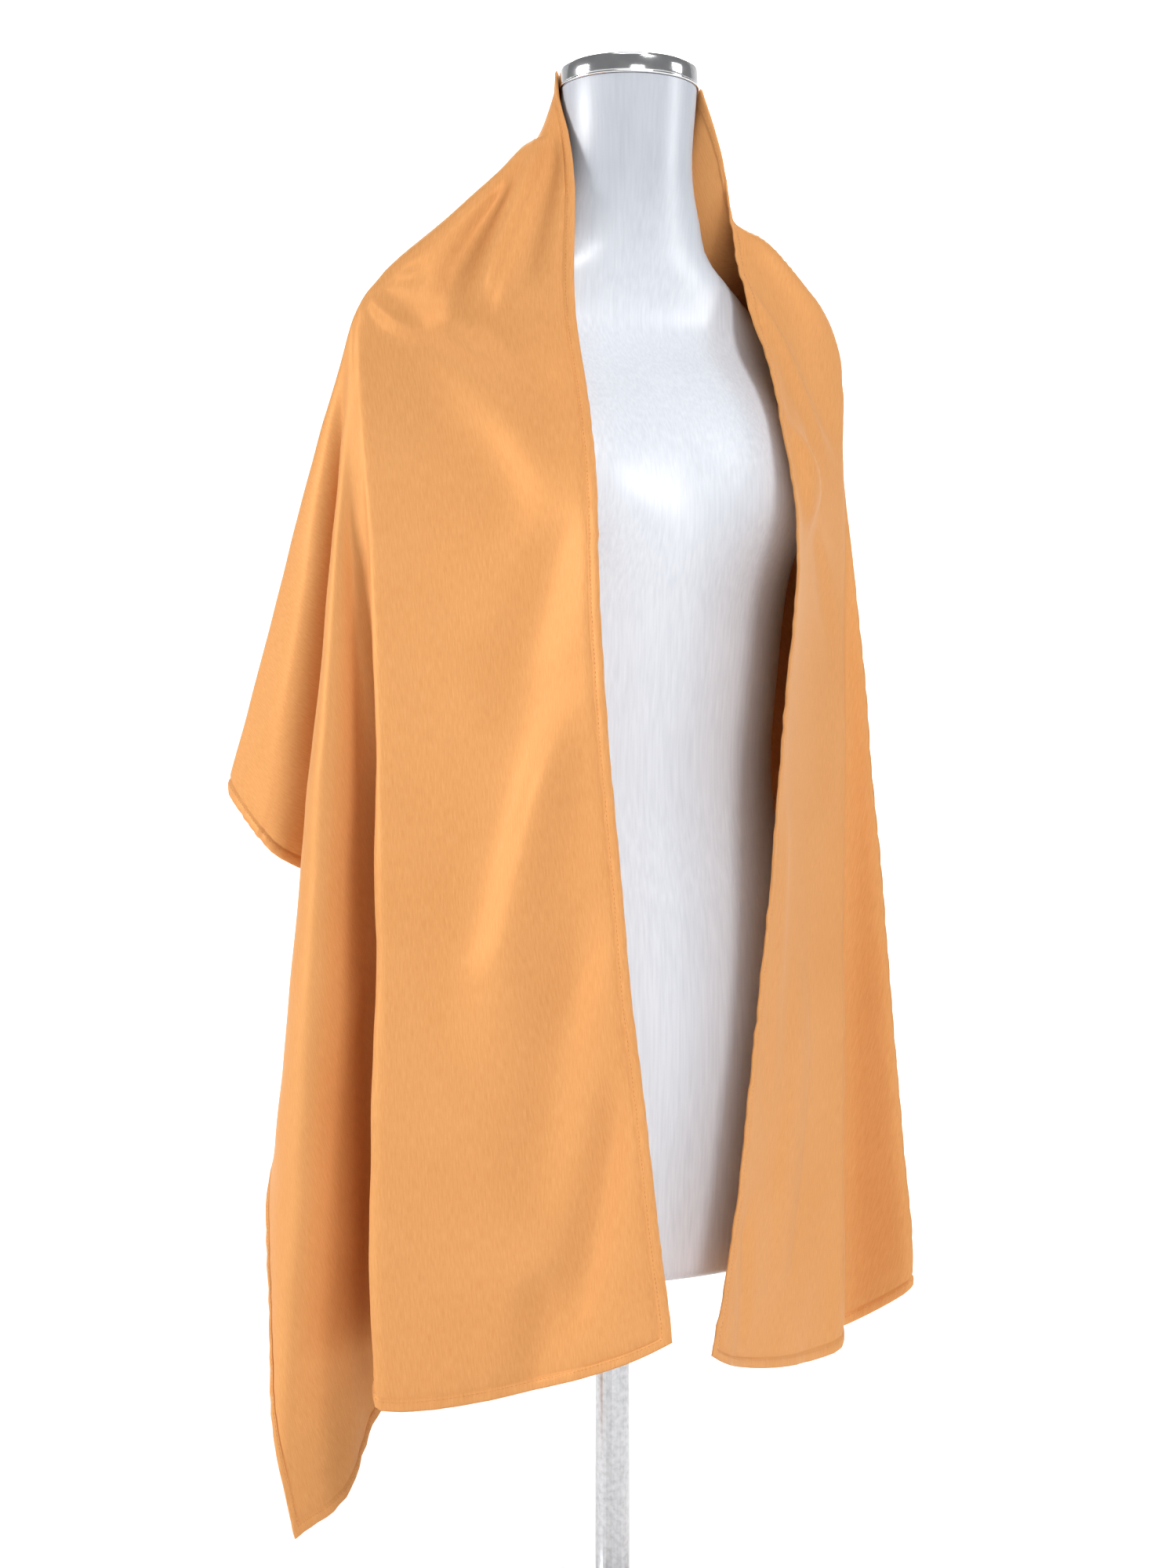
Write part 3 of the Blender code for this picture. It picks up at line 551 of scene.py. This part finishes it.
def lay_stole():
    """Flat measures and space points of the stole as it lies, in rows along and columns across."""
    count = int(round((RIGHT_END - LEFT_END) / LAY_STEP))
    along = np.linspace(LEFT_END, RIGHT_END, count + 1)
    ridge = ridge_across(along)
    front = np.linspace(0, 1, FRONT_COLUMNS + 1)
    fan = np.linspace(0, 1, FAN_COLUMNS + 1)[1:]
    across = np.concatenate(
        [ridge[:, None] * front, ridge[:, None] + (CLOTH_WIDTH - ridge[:, None]) * fan], 1
    )
    flat_along = np.repeat(along[:, None], across.shape[1], 1)
    points = rest_on_form(cloth_points(flat_along, across))
    keep = np.ones(points.shape[:2])
    off_back = (along > RIGHT.tip_along + 0.05) | (-along > LEFT.tip_along + 0.05)
    for beside, share in RIDGE_SOFTNESS.items():
        keep[off_back, FRONT_COLUMNS + beside] = share
    keep[(along > COLLAR_LEFT - 0.02) & (along < COLLAR_RIGHT + 0.02), 0] = 0
    points = soften(points, SOFTEN_ROUNDS, keep)
    shoulder = np.zeros(points.shape[:2])
    for side, sign in ((RIGHT, 1), (LEFT, -1)):
        off = np.abs(sign * flat_along - (side.leave_along + side.tip_along) / 2)
        reach = (side.tip_along - side.leave_along) / 2 + CREST_MARGIN
        shoulder += ease(reach, reach - CREST_MARGIN, off)
    shoulder *= ease(0.30, 0.20, across) * keep
    points = soften(points, SHOULDER_ROUNDS, shoulder)
    return flat_along, across, rest_on_form(points)


def stations(start, end, zone):
    """Flat measures from one edge to the other, closer in the hems and in the creased zone."""
    inner = np.array(HEM_STATIONS)
    low, high = start + inner[-1], end - inner[-1]
    stops = [low, *[stop for stop in zone if low < stop < high], high]
    measures = [start + inner]
    for here, there in zip(stops, stops[1:]):
        fine = here >= zone[0] - 1e-6 and there <= zone[1] + 1e-6
        count = int(round((there - here) / (FINE_STEP if fine else CALM_STEP)))
        measures.append(np.linspace(here, there, count + 1)[1:])
    measures[-1] = measures[-1][:-1]
    return np.concatenate([*measures, end - inner[::-1]])


def read_rows(keys, values, at):
    """Reads every row of a grid at new places, by a smooth curve through its own places."""
    return np.stack([smooth_curve(k, v, a) for k, v, a in zip(keys, values, at)])


def finer_grid(flat_along, across, points):
    """The laid cloth read again on a finer grid that has columns and rows inside the hems."""
    along = stations(LEFT_END, RIGHT_END, CREASED_ALONG)
    columns = stations(0.0, CLOTH_WIDTH, CREASED_ACROSS)
    new_across = np.repeat(columns[None], len(flat_along), 0)
    rows = read_rows(across, points, new_across)
    turned_rows = smooth_curve(flat_along[:, 0], rows.reshape(len(rows), -1), along)
    fine = turned_rows.reshape(len(along), len(columns), 3)
    return np.repeat(along[:, None], len(columns), 1), np.repeat(columns[None], len(along), 0), fine


def grid_normals(points):
    normals = np.cross(np.gradient(points, axis=0), np.gradient(points, axis=1))
    return normals / np.maximum(np.linalg.norm(normals, axis=-1, keepdims=True), 1e-12)


def ripples(u, v, ripple):
    """Smooth, uneven heights at flat measures u and v, the same on every run."""
    rng = np.random.default_rng(ripple.seed)
    total = np.zeros_like(u)
    for _ in range(RIPPLE_WAVES):
        angle = rng.uniform(0, 2 * math.pi)
        length = ripple.length * rng.uniform(0.7, 1.5)
        phase = rng.uniform(0, 2 * math.pi)
        total += np.sin(2 * math.pi * (u * math.cos(angle) + v * math.sin(angle)) / length + phase)
    return ripple.height * total / 4.0


def crease_height(along, across, crease):
    """Height of one crease over the whole cloth."""
    start = np.array([crease.along, crease.across])
    end = np.array([crease.to_along, crease.to_across])
    line = end - start
    length = np.linalg.norm(line)
    way = line / length
    off_along, off_across = along - start[0], across - start[1]
    share = (off_along * way[0] + off_across * way[1]) / length
    bow = crease.bend * 4 * np.clip(share, 0, 1) * (1 - np.clip(share, 0, 1))
    aside = -off_along * way[1] + off_across * way[0] - bow
    width = crease.width * (CREASE_NARROW + CREASE_WIDENS * np.clip(share, 0, 1))
    fade = ease(*CREASE_RISE, share) * ease(*CREASE_FADE, share)
    return crease.height * fade * np.exp(-((aside / width) ** 2))


def edge_distances(along, across):
    """Flat distances to the nearer long edge and to the nearer end of the cloth."""
    edge = np.minimum(across, CLOTH_WIDTH - across)
    return edge, np.minimum(along - LEFT_END, RIGHT_END - along)


def fading(distance, reach):
    """1 at no distance, fading out over its reach."""
    return np.exp(-np.maximum(distance, 0) / reach)


def crease_cloth(along, across, points):
    """Raises and sinks the cloth along its creases, and gives it a slight unevenness."""
    height = ripples(along, across, BROAD_RIPPLE) + ripples(along, across, FINE_RIPPLE)
    for crease in CREASES:
        height = height + crease_height(along, across, crease)
    edge, end = edge_distances(along, across)
    edge_puckers = ripples(along, across * PUCKER_STRETCH, EDGE_PUCKER)
    end_puckers = ripples(along * PUCKER_STRETCH, across, END_PUCKER)
    height += fading(edge, PUCKER_REACH) * edge_puckers
    height += fading(end, PUCKER_REACH) * end_puckers
    height += fading(CLOTH_WIDTH - across, WAVE_REACH) * ripples(along, across, EDGE_WAVE)
    height += fading(end, END_WAVE_REACH) * ripples(across, along, END_WAVE)
    from_seam = np.minimum(edge, end) - HEM_SEAM
    height -= HEM_GROOVE * np.exp(-((from_seam / HEM_GROOVE_WIDTH) ** 2))
    collar = (along > COLLAR_LEFT - COLLAR_CALM) & (along < COLLAR_RIGHT + COLLAR_CALM)
    height = np.where(collar & (across < COLLAR_CALM), height * COLLAR_KEEPS, height)
    return rest_on_form(points - grid_normals(points) * height[..., None])


def shell_depth(along, across):
    """Thickness of the cloth: thicker in the turned hem, pinched at its stitches."""
    near = np.minimum(*edge_distances(along, across))
    depth = SHELL + (HEM_SHELL - SHELL) * ease(*HEM_STEP, near)
    depth -= HEM_DITCH * np.exp(-(((near - DITCH_FROM_EDGE) / DITCH_WIDTH) ** 2))
    depth -= STITCH_DIP * np.exp(-(((near - STITCH_FROM_EDGE) / STITCH_DIP_WIDTH) ** 2))
    return depth * (EDGE_THINNED + (1 - EDGE_THINNED) * ease(*EDGE_ROUND, near))


def place_on_body(piece, slot, *nodes):
    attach(piece, "root")
    if nodes:
        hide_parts(*nodes)


def new_piece(name, bm, material, smooth_degrees=40):
    mesh = bpy.data.meshes.new(name)
    bm.to_mesh(mesh)
    bm.free()
    mesh.materials.append(material)
    mesh.shade_smooth()
    mesh.set_sharp_from_angle(angle=math.radians(smooth_degrees))
    piece = bpy.data.objects.new(name, mesh)
    bpy.context.scene.collection.objects.link(piece)
    return piece


def make_stole(material):
    """The stole as one closed thin shell, with its flat cut kept as its UV map."""
    along, across, points = finer_grid(*lay_stole())
    points = crease_cloth(along, across, points)
    normals = grid_normals(points)
    offsets = normals * shell_depth(along, across)[..., None]
    rows, columns = along.shape
    bm = bmesh.new()
    place_of = bm.verts.layers.int.new("place")
    bmesh.ops.create_grid(bm, x_segments=rows - 1, y_segments=columns - 1, size=0.5)
    order = sorted(bm.verts, key=lambda v: (round(v.co.x, 6), round(v.co.y, 6)))
    for number, (vert, spot) in enumerate(zip(order, (points - offsets / 2).reshape(-1, 3))):
        vert.co = spot
        vert[place_of] = number
    raised = bmesh.ops.extrude_face_region(bm, geom=bm.faces[:])["geom"]
    shifts = offsets.reshape(-1, 3)
    for vert in raised:
        if isinstance(vert, bmesh.types.BMVert):
            vert.co += Vector(shifts[vert[place_of]])
    flat = np.stack([along - LEFT_END, across], -1).reshape(-1, 2)
    uv = bm.loops.layers.uv.new("flat_cut")
    for face in bm.faces:
        for loop in face.loops:
            loop[uv].uv = flat[loop.vert[place_of]]
    bmesh.ops.recalc_face_normals(bm, faces=bm.faces[:])
    stole = new_piece("satin_stole", bm, material, 70)
    stole.data.attributes.remove(stole.data.attributes["place"])
    return stole, (along, across, points, normals, offsets)


def stitch_lines(surface):
    """The four runs of stitches as points, directions and face normals, with their half depth."""
    along, across, points, normals, offsets = surface
    column = int(np.argmin(np.abs(across[0] - STITCH_FROM_EDGE)))
    row = int(np.argmin(np.abs(along[:, 0] - LEFT_END - STITCH_FROM_EDGE)))
    half = np.linalg.norm(offsets, axis=-1) / 2
    runs = []
    for edge in (column, -1 - column):
        runs.append([part[row : -row, edge] for part in (points, normals, half)])
    for end in (row, -1 - row):
        runs.append([part[end, column : -column] for part in (points, normals, half)])
    return runs


def read_run(place, reach, rows):
    """A vector read from rows that stand at the lengths in reach."""
    return Vector([np.interp(place, reach, rows[:, axis]) for axis in range(3)])


def make_stitches(surface, material):
    """Lock stitches on both faces of the hem, each a short thread sunk at its two ends."""
    bm = bmesh.new()
    pattern = bmesh.new()
    bmesh.ops.create_icosphere(pattern, subdivisions=1, radius=1.0)
    shape = [vert.co.copy() for vert in pattern.verts]
    faces = [[vert.index for vert in face.verts] for face in pattern.faces]
    pattern.free()
    for run, normal, half in stitch_lines(surface):
        steps = np.linalg.norm(np.diff(run, axis=0), axis=1)
        reach = np.concatenate([[0], np.cumsum(steps)])
        for place in np.arange(STITCH_PITCH / 2, reach[-1], STITCH_PITCH):
            start = read_run(place - STITCH_LENGTH / 2, reach, run)
            end = read_run(place + STITCH_LENGTH / 2, reach, run)
            up = read_run(place, reach, normal).normalized()
            lift = float(np.interp(place, reach, half))
            way = (end - start).normalized()
            middle = (start + end) / 2
            aside = up.cross(way).normalized()
            for face_side in (1, -1):
                centre = middle + up * (face_side * (lift + THREAD_RADIUS * THREAD_LIFT))
                made = [
                    bm.verts.new(
                        centre
                        + way * (co.x * STITCH_LENGTH / 2)
                        + aside * (co.y * THREAD_RADIUS)
                        + up * (co.z * THREAD_RADIUS)
                    )
                    for co in shape
                ]
                for face in faces:
                    bm.faces.new([made[i] for i in face])
    return new_piece("hem_stitches", bm, material, 80)


def turn_of(vert):
    """Angle of a point round the upright axis, from 0 to a full turn."""
    return math.atan2(vert.co.y, vert.co.x) % (2 * math.pi)


def make_torso(material):
    """The form again with closer rings and a softly rounded lower edge."""
    heights = np.linspace(FORM_BOTTOM, NECK_TOP, FORM_LEVELS)
    angles = np.linspace(0, 2 * math.pi, FORM_SIDES, endpoint=False)
    bm = bmesh.new()
    made = bmesh.ops.create_circle(bm, segments=len(angles), radius=1.0)["verts"]
    made.sort(key=turn_of)
    levels = [(FORM_BOTTOM + row.rise, row.pull) for row in FORM_ROUNDING]
    levels += [(h, 0.0) for h in heights[1:] if h > FORM_BOTTOM + FORM_PLAIN_FROM]
    rings = []
    for height, pull in levels:
        level = np.full_like(angles, height)
        reach = form_reach(angles, level) - pull
        middle = form_ring(level)[3]
        rings.append(np.stack([reach * np.cos(angles), middle + reach * np.sin(angles), level], 1))
    edges = bm.edges[:]
    for vert, place in zip(made, rings[0]):
        vert.co = place
    number = bm.verts.layers.int.new("turn")
    for i, vert in enumerate(sorted(bm.verts, key=turn_of)):
        vert[number] = i
    for ring in rings[1:]:
        grown = bmesh.ops.extrude_edge_only(bm, edges=edges)["geom"]
        edges = [part for part in grown if isinstance(part, bmesh.types.BMEdge)]
        for vert in grown:
            if isinstance(vert, bmesh.types.BMVert):
                vert.co = ring[vert[number]]
    bmesh.ops.holes_fill(bm, edges=bm.edges[:])
    bmesh.ops.recalc_face_normals(bm, faces=bm.faces[:])
    torso = new_piece("torso", bm, material, 50)
    torso.data.attributes.remove(torso.data.attributes["turn"])
    return torso


def spun(name, profile, sides, material, centre=(0.0, 0.0, 0.0), smooth_degrees=35):
    """A piece turned round +Z from (radius, height) points."""
    bm = bmesh.new()
    verts = [bm.verts.new((radius, 0.0, height)) for radius, height in profile]
    edges = [bm.edges.new(pair) for pair in zip(verts, verts[1:])]
    bmesh.ops.spin(
        bm,
        geom=verts + edges,
        cent=(0, 0, 0),
        axis=(0, 0, 1),
        angle=2 * math.pi,
        steps=sides,
        use_merge=True,
    )
    bmesh.ops.remove_doubles(bm, verts=bm.verts[:], dist=0.00002)
    bmesh.ops.recalc_face_normals(bm, faces=bm.faces[:])
    bmesh.ops.translate(bm, vec=centre, verts=bm.verts[:])
    return new_piece(name, bm, material, smooth_degrees)


def make_neck_cap(material):
    top, low = CAP_HEIGHT, FIT_GAP
    profile = [
        (0.0, top),
        (CAP_RADIUS - 0.0042, top),
        (CAP_RADIUS - 0.0026, top - 0.0002),
        (CAP_RADIUS - 0.0010, top - 0.0010),
        (CAP_RADIUS - 0.0002, top - 0.0024),
        (CAP_RADIUS, top - 0.0040),
        (CAP_RADIUS, low + 0.0024),
        (CAP_RADIUS - 0.0003, low + 0.0019),
        (CAP_RADIUS + 0.0003, low + 0.0014),
        (CAP_RADIUS + 0.0004, low + 0.0008),
        (CAP_RADIUS - 0.0001, low + 0.0001),
        (CAP_RADIUS - 0.0012, low),
        (0.0, low),
    ]
    return spun("polished_neck_cap", profile, CAP_SIDES, material, (0.0, NECK_LEAN, NECK_TOP), 50)


def shader_nodes(name):
    material = bpy.data.materials.new(name)
    material.use_nodes = True
    tree = material.node_tree
    return material, tree, tree.nodes["Principled BSDF"]


def add(tree, kind, **settings):
    node = tree.nodes.new(kind)
    for key, value in settings.items():
        setattr(node, key, value)
    return node


def set_inputs(node, **values):
    for key, value in values.items():
        node.inputs[key.replace("_", " ")].default_value = value


def coloured_ramp(tree, factor, low, high, low_at=0.0, high_at=1.0):
    ramp = add(tree, "ShaderNodeValToRGB")
    ramp.color_ramp.elements[0].position = low_at
    ramp.color_ramp.elements[1].position = high_at
    ramp.color_ramp.elements[0].color = (*low, 1.0)
    ramp.color_ramp.elements[1].color = (*high, 1.0)
    tree.links.new(factor, ramp.inputs["Fac"])
    return ramp.outputs["Color"]


def satin_material():
    """Satin weave on the flat cut: fine floats, faint slubs along the warp, soft sheen."""
    material, tree, shader = shader_nodes("peach_satin")
    set_inputs(
        shader,
        Sheen_Weight=0.28,
        Sheen_Roughness=0.24,
        Sheen_Tint=(1.0, 0.74, 0.50, 1.0),
        Anisotropic=0.35,
        Specular_IOR_Level=0.015,
        Metallic=0.065,
    )
    cut = add(tree, "ShaderNodeUVMap", uv_map="flat_cut").outputs["UV"]
    slub_place = add(tree, "ShaderNodeMapping")
    slub_place.inputs["Scale"].default_value = (110.0, 900.0, 1.0)
    tree.links.new(cut, slub_place.inputs["Vector"])
    slubs = add(tree, "ShaderNodeTexNoise")
    set_inputs(slubs, Scale=1.0, Detail=3.0, Roughness=0.6)
    tree.links.new(slub_place.outputs["Vector"], slubs.inputs["Vector"])
    patches = add(tree, "ShaderNodeTexNoise")
    set_inputs(patches, Scale=9.0, Detail=2.0, Roughness=0.5)
    tree.links.new(cut, patches.inputs["Vector"])
    blend = add(tree, "ShaderNodeMath", operation="MULTIPLY_ADD")
    blend.inputs[1].default_value = 0.35
    tree.links.new(patches.outputs["Fac"], blend.inputs[0])
    tree.links.new(slubs.outputs["Fac"], blend.inputs[2])
    colour = coloured_ramp(tree, blend.outputs["Value"], SATIN_DEEP, SATIN_LIGHT, 0.35, 1.0)
    tree.links.new(colour, shader.inputs["Base Color"])
    rough = add(tree, "ShaderNodeMapRange")
    set_inputs(rough, From_Min=0.3, From_Max=0.7, To_Min=0.35, To_Max=0.43)
    tree.links.new(slubs.outputs["Fac"], rough.inputs["Value"])
    tree.links.new(rough.outputs["Result"], shader.inputs["Roughness"])
    warp = add(tree, "ShaderNodeTexWave", bands_direction="DIAGONAL")
    set_inputs(warp, Scale=420.0, Distortion=1.2, Detail=1.0)
    tree.links.new(cut, warp.inputs["Vector"])
    weft = add(tree, "ShaderNodeTexWave", bands_direction="Y")
    set_inputs(weft, Scale=560.0, Distortion=0.8, Detail=1.0)
    tree.links.new(cut, weft.inputs["Vector"])
    weave = add(tree, "ShaderNodeMath", operation="ADD")
    tree.links.new(warp.outputs["Fac"], weave.inputs[0])
    tree.links.new(weft.outputs["Fac"], weave.inputs[1])
    fine = add(tree, "ShaderNodeBump")
    set_inputs(fine, Strength=0.10, Distance=0.00012)
    tree.links.new(weave.outputs["Value"], fine.inputs["Height"])
    coarse = add(tree, "ShaderNodeBump")
    set_inputs(coarse, Strength=0.22, Distance=0.0004)
    tree.links.new(slubs.outputs["Fac"], coarse.inputs["Height"])
    tree.links.new(fine.outputs["Normal"], coarse.inputs["Normal"])
    tree.links.new(coarse.outputs["Normal"], shader.inputs["Normal"])
    return material


def thread_material():
    material, tree, shader = shader_nodes("hem_thread")
    set_inputs(shader, Roughness=0.5, Sheen_Weight=0.2)
    place = add(tree, "ShaderNodeTexCoord").outputs["Object"]
    twist = add(tree, "ShaderNodeTexNoise")
    set_inputs(twist, Scale=900.0, Detail=1.0)
    tree.links.new(place, twist.inputs["Vector"])
    colour = coloured_ramp(tree, twist.outputs["Fac"], THREAD_DEEP, THREAD_LIGHT, 0.3, 0.7)
    tree.links.new(colour, shader.inputs["Base Color"])
    return material


def form_material():
    """Pearl white cover of the form, with its fine upright grain and painted shade darkening it up the
    neck.
    """
    material, tree, shader = shader_nodes("pearl_form_cover")
    set_inputs(shader, Roughness=0.36, Sheen_Weight=0.1, Sheen_Roughness=0.4)
    set_inputs(shader, Specular_IOR_Level=1.0)
    place = add(tree, "ShaderNodeTexCoord").outputs["Object"]
    grain_place = add(tree, "ShaderNodeMapping")
    grain_place.inputs["Scale"].default_value = (520.0, 520.0, 18.0)
    tree.links.new(place, grain_place.inputs["Vector"])
    grain = add(tree, "ShaderNodeTexNoise")
    set_inputs(grain, Scale=1.0, Detail=2.0)
    tree.links.new(grain_place.outputs["Vector"], grain.inputs["Vector"])
    patches = add(tree, "ShaderNodeTexNoise")
    set_inputs(patches, Scale=7.0, Detail=2.0)
    tree.links.new(place, patches.inputs["Vector"])
    blend = add(tree, "ShaderNodeMath", operation="MULTIPLY_ADD")
    blend.inputs[1].default_value = 0.5
    tree.links.new(patches.outputs["Fac"], blend.inputs[0])
    tree.links.new(grain.outputs["Fac"], blend.inputs[2])
    colour = coloured_ramp(tree, blend.outputs["Value"], FORM_DEEP, FORM_LIGHT, 0.4, 1.0)
    parts = add(tree, "ShaderNodeSeparateXYZ")
    tree.links.new(place, parts.inputs["Vector"])
    # Painted shade: from the shoulders up the neck the colour is mixed half way towards a darker grey,
    # standing in for shade on the neck.
    neck_painted_shade = add(tree, "ShaderNodeMapRange")
    set_inputs(neck_painted_shade, From_Min=0.97, From_Max=1.07, To_Min=0.0, To_Max=0.5)
    tree.links.new(parts.outputs["Z"], neck_painted_shade.inputs["Value"])
    shaded_towards_neck = add(tree, "ShaderNodeMixRGB", blend_type="MIX")
    shaded_towards_neck.inputs["Color2"].default_value = (*FORM_NECK_PAINTED_SHADE, 1.0)
    tree.links.new(neck_painted_shade.outputs["Result"], shaded_towards_neck.inputs["Fac"])
    tree.links.new(colour, shaded_towards_neck.inputs["Color1"])
    tree.links.new(shaded_towards_neck.outputs["Color"], shader.inputs["Base Color"])
    bump = add(tree, "ShaderNodeBump")
    set_inputs(bump, Strength=0.15, Distance=0.0002)
    tree.links.new(grain.outputs["Fac"], bump.inputs["Height"])
    tree.links.new(bump.outputs["Normal"], shader.inputs["Normal"])
    return material


def chrome_material():
    material, tree, shader = shader_nodes("polished_chrome")
    set_inputs(shader, Metallic=1.0, Roughness=0.06)
    place = add(tree, "ShaderNodeTexCoord").outputs["Object"]
    haze = add(tree, "ShaderNodeTexNoise")
    set_inputs(haze, Scale=60.0, Detail=3.0)
    tree.links.new(place, haze.inputs["Vector"])
    colour = coloured_ramp(tree, haze.outputs["Fac"], CHROME_DEEP, CHROME_LIGHT, 0.3, 0.7)
    tree.links.new(colour, shader.inputs["Base Color"])
    rough = add(tree, "ShaderNodeMapRange")
    set_inputs(rough, From_Min=0.3, From_Max=0.7, To_Min=0.09, To_Max=0.15)
    tree.links.new(haze.outputs["Fac"], rough.inputs["Value"])
    tree.links.new(rough.outputs["Result"], shader.inputs["Roughness"])
    return material


def steel_material():
    """Brushed steel, its brush marks running round the stand's axis."""
    material, tree, shader = shader_nodes("brushed_steel")
    set_inputs(shader, Metallic=1.0, Anisotropic=0.4)
    place = add(tree, "ShaderNodeTexCoord").outputs["Object"]
    marks = add(tree, "ShaderNodeTexWave", wave_type="RINGS", rings_direction="Z")
    set_inputs(marks, Scale=260.0, Distortion=2.0, Detail=3.0)
    tree.links.new(place, marks.inputs["Vector"])
    colour = coloured_ramp(tree, marks.outputs["Fac"], STEEL_DEEP, STEEL_LIGHT)
    tree.links.new(colour, shader.inputs["Base Color"])
    rough = add(tree, "ShaderNodeMapRange")
    set_inputs(rough, To_Min=0.24, To_Max=0.36)
    tree.links.new(marks.outputs["Fac"], rough.inputs["Value"])
    tree.links.new(rough.outputs["Result"], shader.inputs["Roughness"])
    bump = add(tree, "ShaderNodeBump")
    set_inputs(bump, Strength=0.08, Distance=0.0001)
    tree.links.new(marks.outputs["Fac"], bump.inputs["Height"])
    tree.links.new(bump.outputs["Normal"], shader.inputs["Normal"])
    return material


def finish_stand(nodes):
    steel = steel_material()
    for name in ("stand_base", "stand_boss", "stand_pole", "form_flange"):
        node = nodes[name]
        node.data.materials.clear()
        node.data.materials.append(steel)


def make_studio():
    """A pale floor that sweeps up into the backdrop."""
    bm = bmesh.new()
    side = Vector((math.cos(VIEW_TURN), -math.sin(VIEW_TURN), 0.0))
    back = Vector((math.sin(VIEW_TURN), math.cos(VIEW_TURN), 0.0))
    outline = [(-FLOOR_FRONT, 0.0), (FLOOR_BACK, 0.0)]
    for turn in np.linspace(0, math.pi / 2, SWEEP_STEPS + 1)[1:]:
        away = FLOOR_BACK + SWEEP_RADIUS * math.sin(turn)
        outline.append((away, SWEEP_RADIUS - SWEEP_RADIUS * math.cos(turn)))
    outline.append((FLOOR_BACK + SWEEP_RADIUS, BACKDROP_HEIGHT))
    edge = -side * FLOOR_WIDTH / 2
    verts = [bm.verts.new(edge + back * away + Vector((0, 0, rise))) for away, rise in outline]
    edges = [bm.edges.new(pair) for pair in zip(verts, verts[1:])]
    grown = bmesh.ops.extrude_edge_only(bm, edges=edges)["geom"]
    far_side = [part for part in grown if isinstance(part, bmesh.types.BMVert)]
    bmesh.ops.translate(bm, vec=side * FLOOR_WIDTH, verts=far_side)
    bmesh.ops.recalc_face_normals(bm, faces=bm.faces[:])
    material, _, shader = shader_nodes("studio_sweep")
    set_inputs(shader, Base_Color=(0.93, 0.93, 0.93, 1.0), Roughness=0.9, Specular_IOR_Level=0.1)
    set_inputs(shader, Emission_Color=(1.0, 1.0, 1.0, 1.0), Emission_Strength=0.06)
    sweep = new_piece("studio_sweep", bm, material, 60)


def soft_light(name, azimuth, elevation, distance, size, power, aim=STUDIO_MIDDLE):
    """A square soft box, placed round the object and turned towards its aim."""
    lamp = bpy.data.lights.new(name, "AREA")
    lamp.shape = "SQUARE"
    lamp.size = size
    lamp.energy = power
    box = bpy.data.objects.new(name, lamp)
    bpy.context.scene.collection.objects.link(box)
    turn, rise = math.radians(azimuth), math.radians(elevation)
    offset = Vector((math.sin(turn) * math.cos(rise), -math.cos(turn) * math.cos(rise), math.sin(rise)))
    box.location = Vector(STUDIO_MIDDLE) + offset * distance
    box.rotation_euler = (Vector(aim) - box.location).to_track_quat("-Z", "Y").to_euler()


def light_studio():
    world = bpy.data.worlds.new("soft_room")
    bpy.context.scene.world = world
    world.use_nodes = True
    sky = world.node_tree.nodes["Background"]
    sky.inputs["Color"].default_value = (1.0, 1.0, 1.0, 1.0)
    sky.inputs["Strength"].default_value = 0.20
    soft_light("left_box", -114, 8, 2.8, 1.0, 56)
    soft_light("right_box", 50, 14, 3.0, 0.9, 17)
    soft_light("front_box", -2, 38, 3.4, 0.7, 51)
    soft_light("top_box", -24, 72, 2.4, 1.2, 12)
    soft_light("low_box", -20, -4, 2.4, 0.8, 9, aim=(0.0, 0.0, 0.35))
    soft_light("backdrop_box", 147, 40, 3.2, 2.4, 90, aim=(1.6, 2.4, 0.0))


def place_camera():
    camera = bpy.data.cameras.new("photo_view")
    camera.sensor_fit = "VERTICAL"
    camera.sensor_height = 36.0
    camera.lens = VIEW_LENS
    view = bpy.data.objects.new("photo_view", camera)
    bpy.context.scene.collection.objects.link(view)
    view.location = VIEW_FROM
    way = Vector((math.sin(VIEW_TURN), math.cos(VIEW_TURN), 0.0))
    view.rotation_euler = way.to_track_quat("-Z", "Y").to_euler()
    bpy.context.scene.camera = view
    bpy.context.scene.view_settings.view_transform = "Standard"


def main():
    for old in list(bpy.data.objects):
        bpy.data.objects.remove(old)
    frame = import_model()
    nodes = frame["nodes"]
    stole, surface = make_stole(satin_material())
    stitches = make_stitches(surface, thread_material())
    torso = make_torso(form_material())
    cap = make_neck_cap(chrome_material())
    finish_stand(nodes)
    cloth_nodes = [name for name in nodes if name.endswith(("_panel", "_side_fall", "_hem"))]
    place_on_body(stole, "satin", *cloth_nodes)
    place_on_body(stitches, "satin")
    place_on_body(torso, "form_white", "dress_form")
    place_on_body(cap, "chrome", "neck_cap")
    make_studio()
    light_studio()
    place_camera()


main()
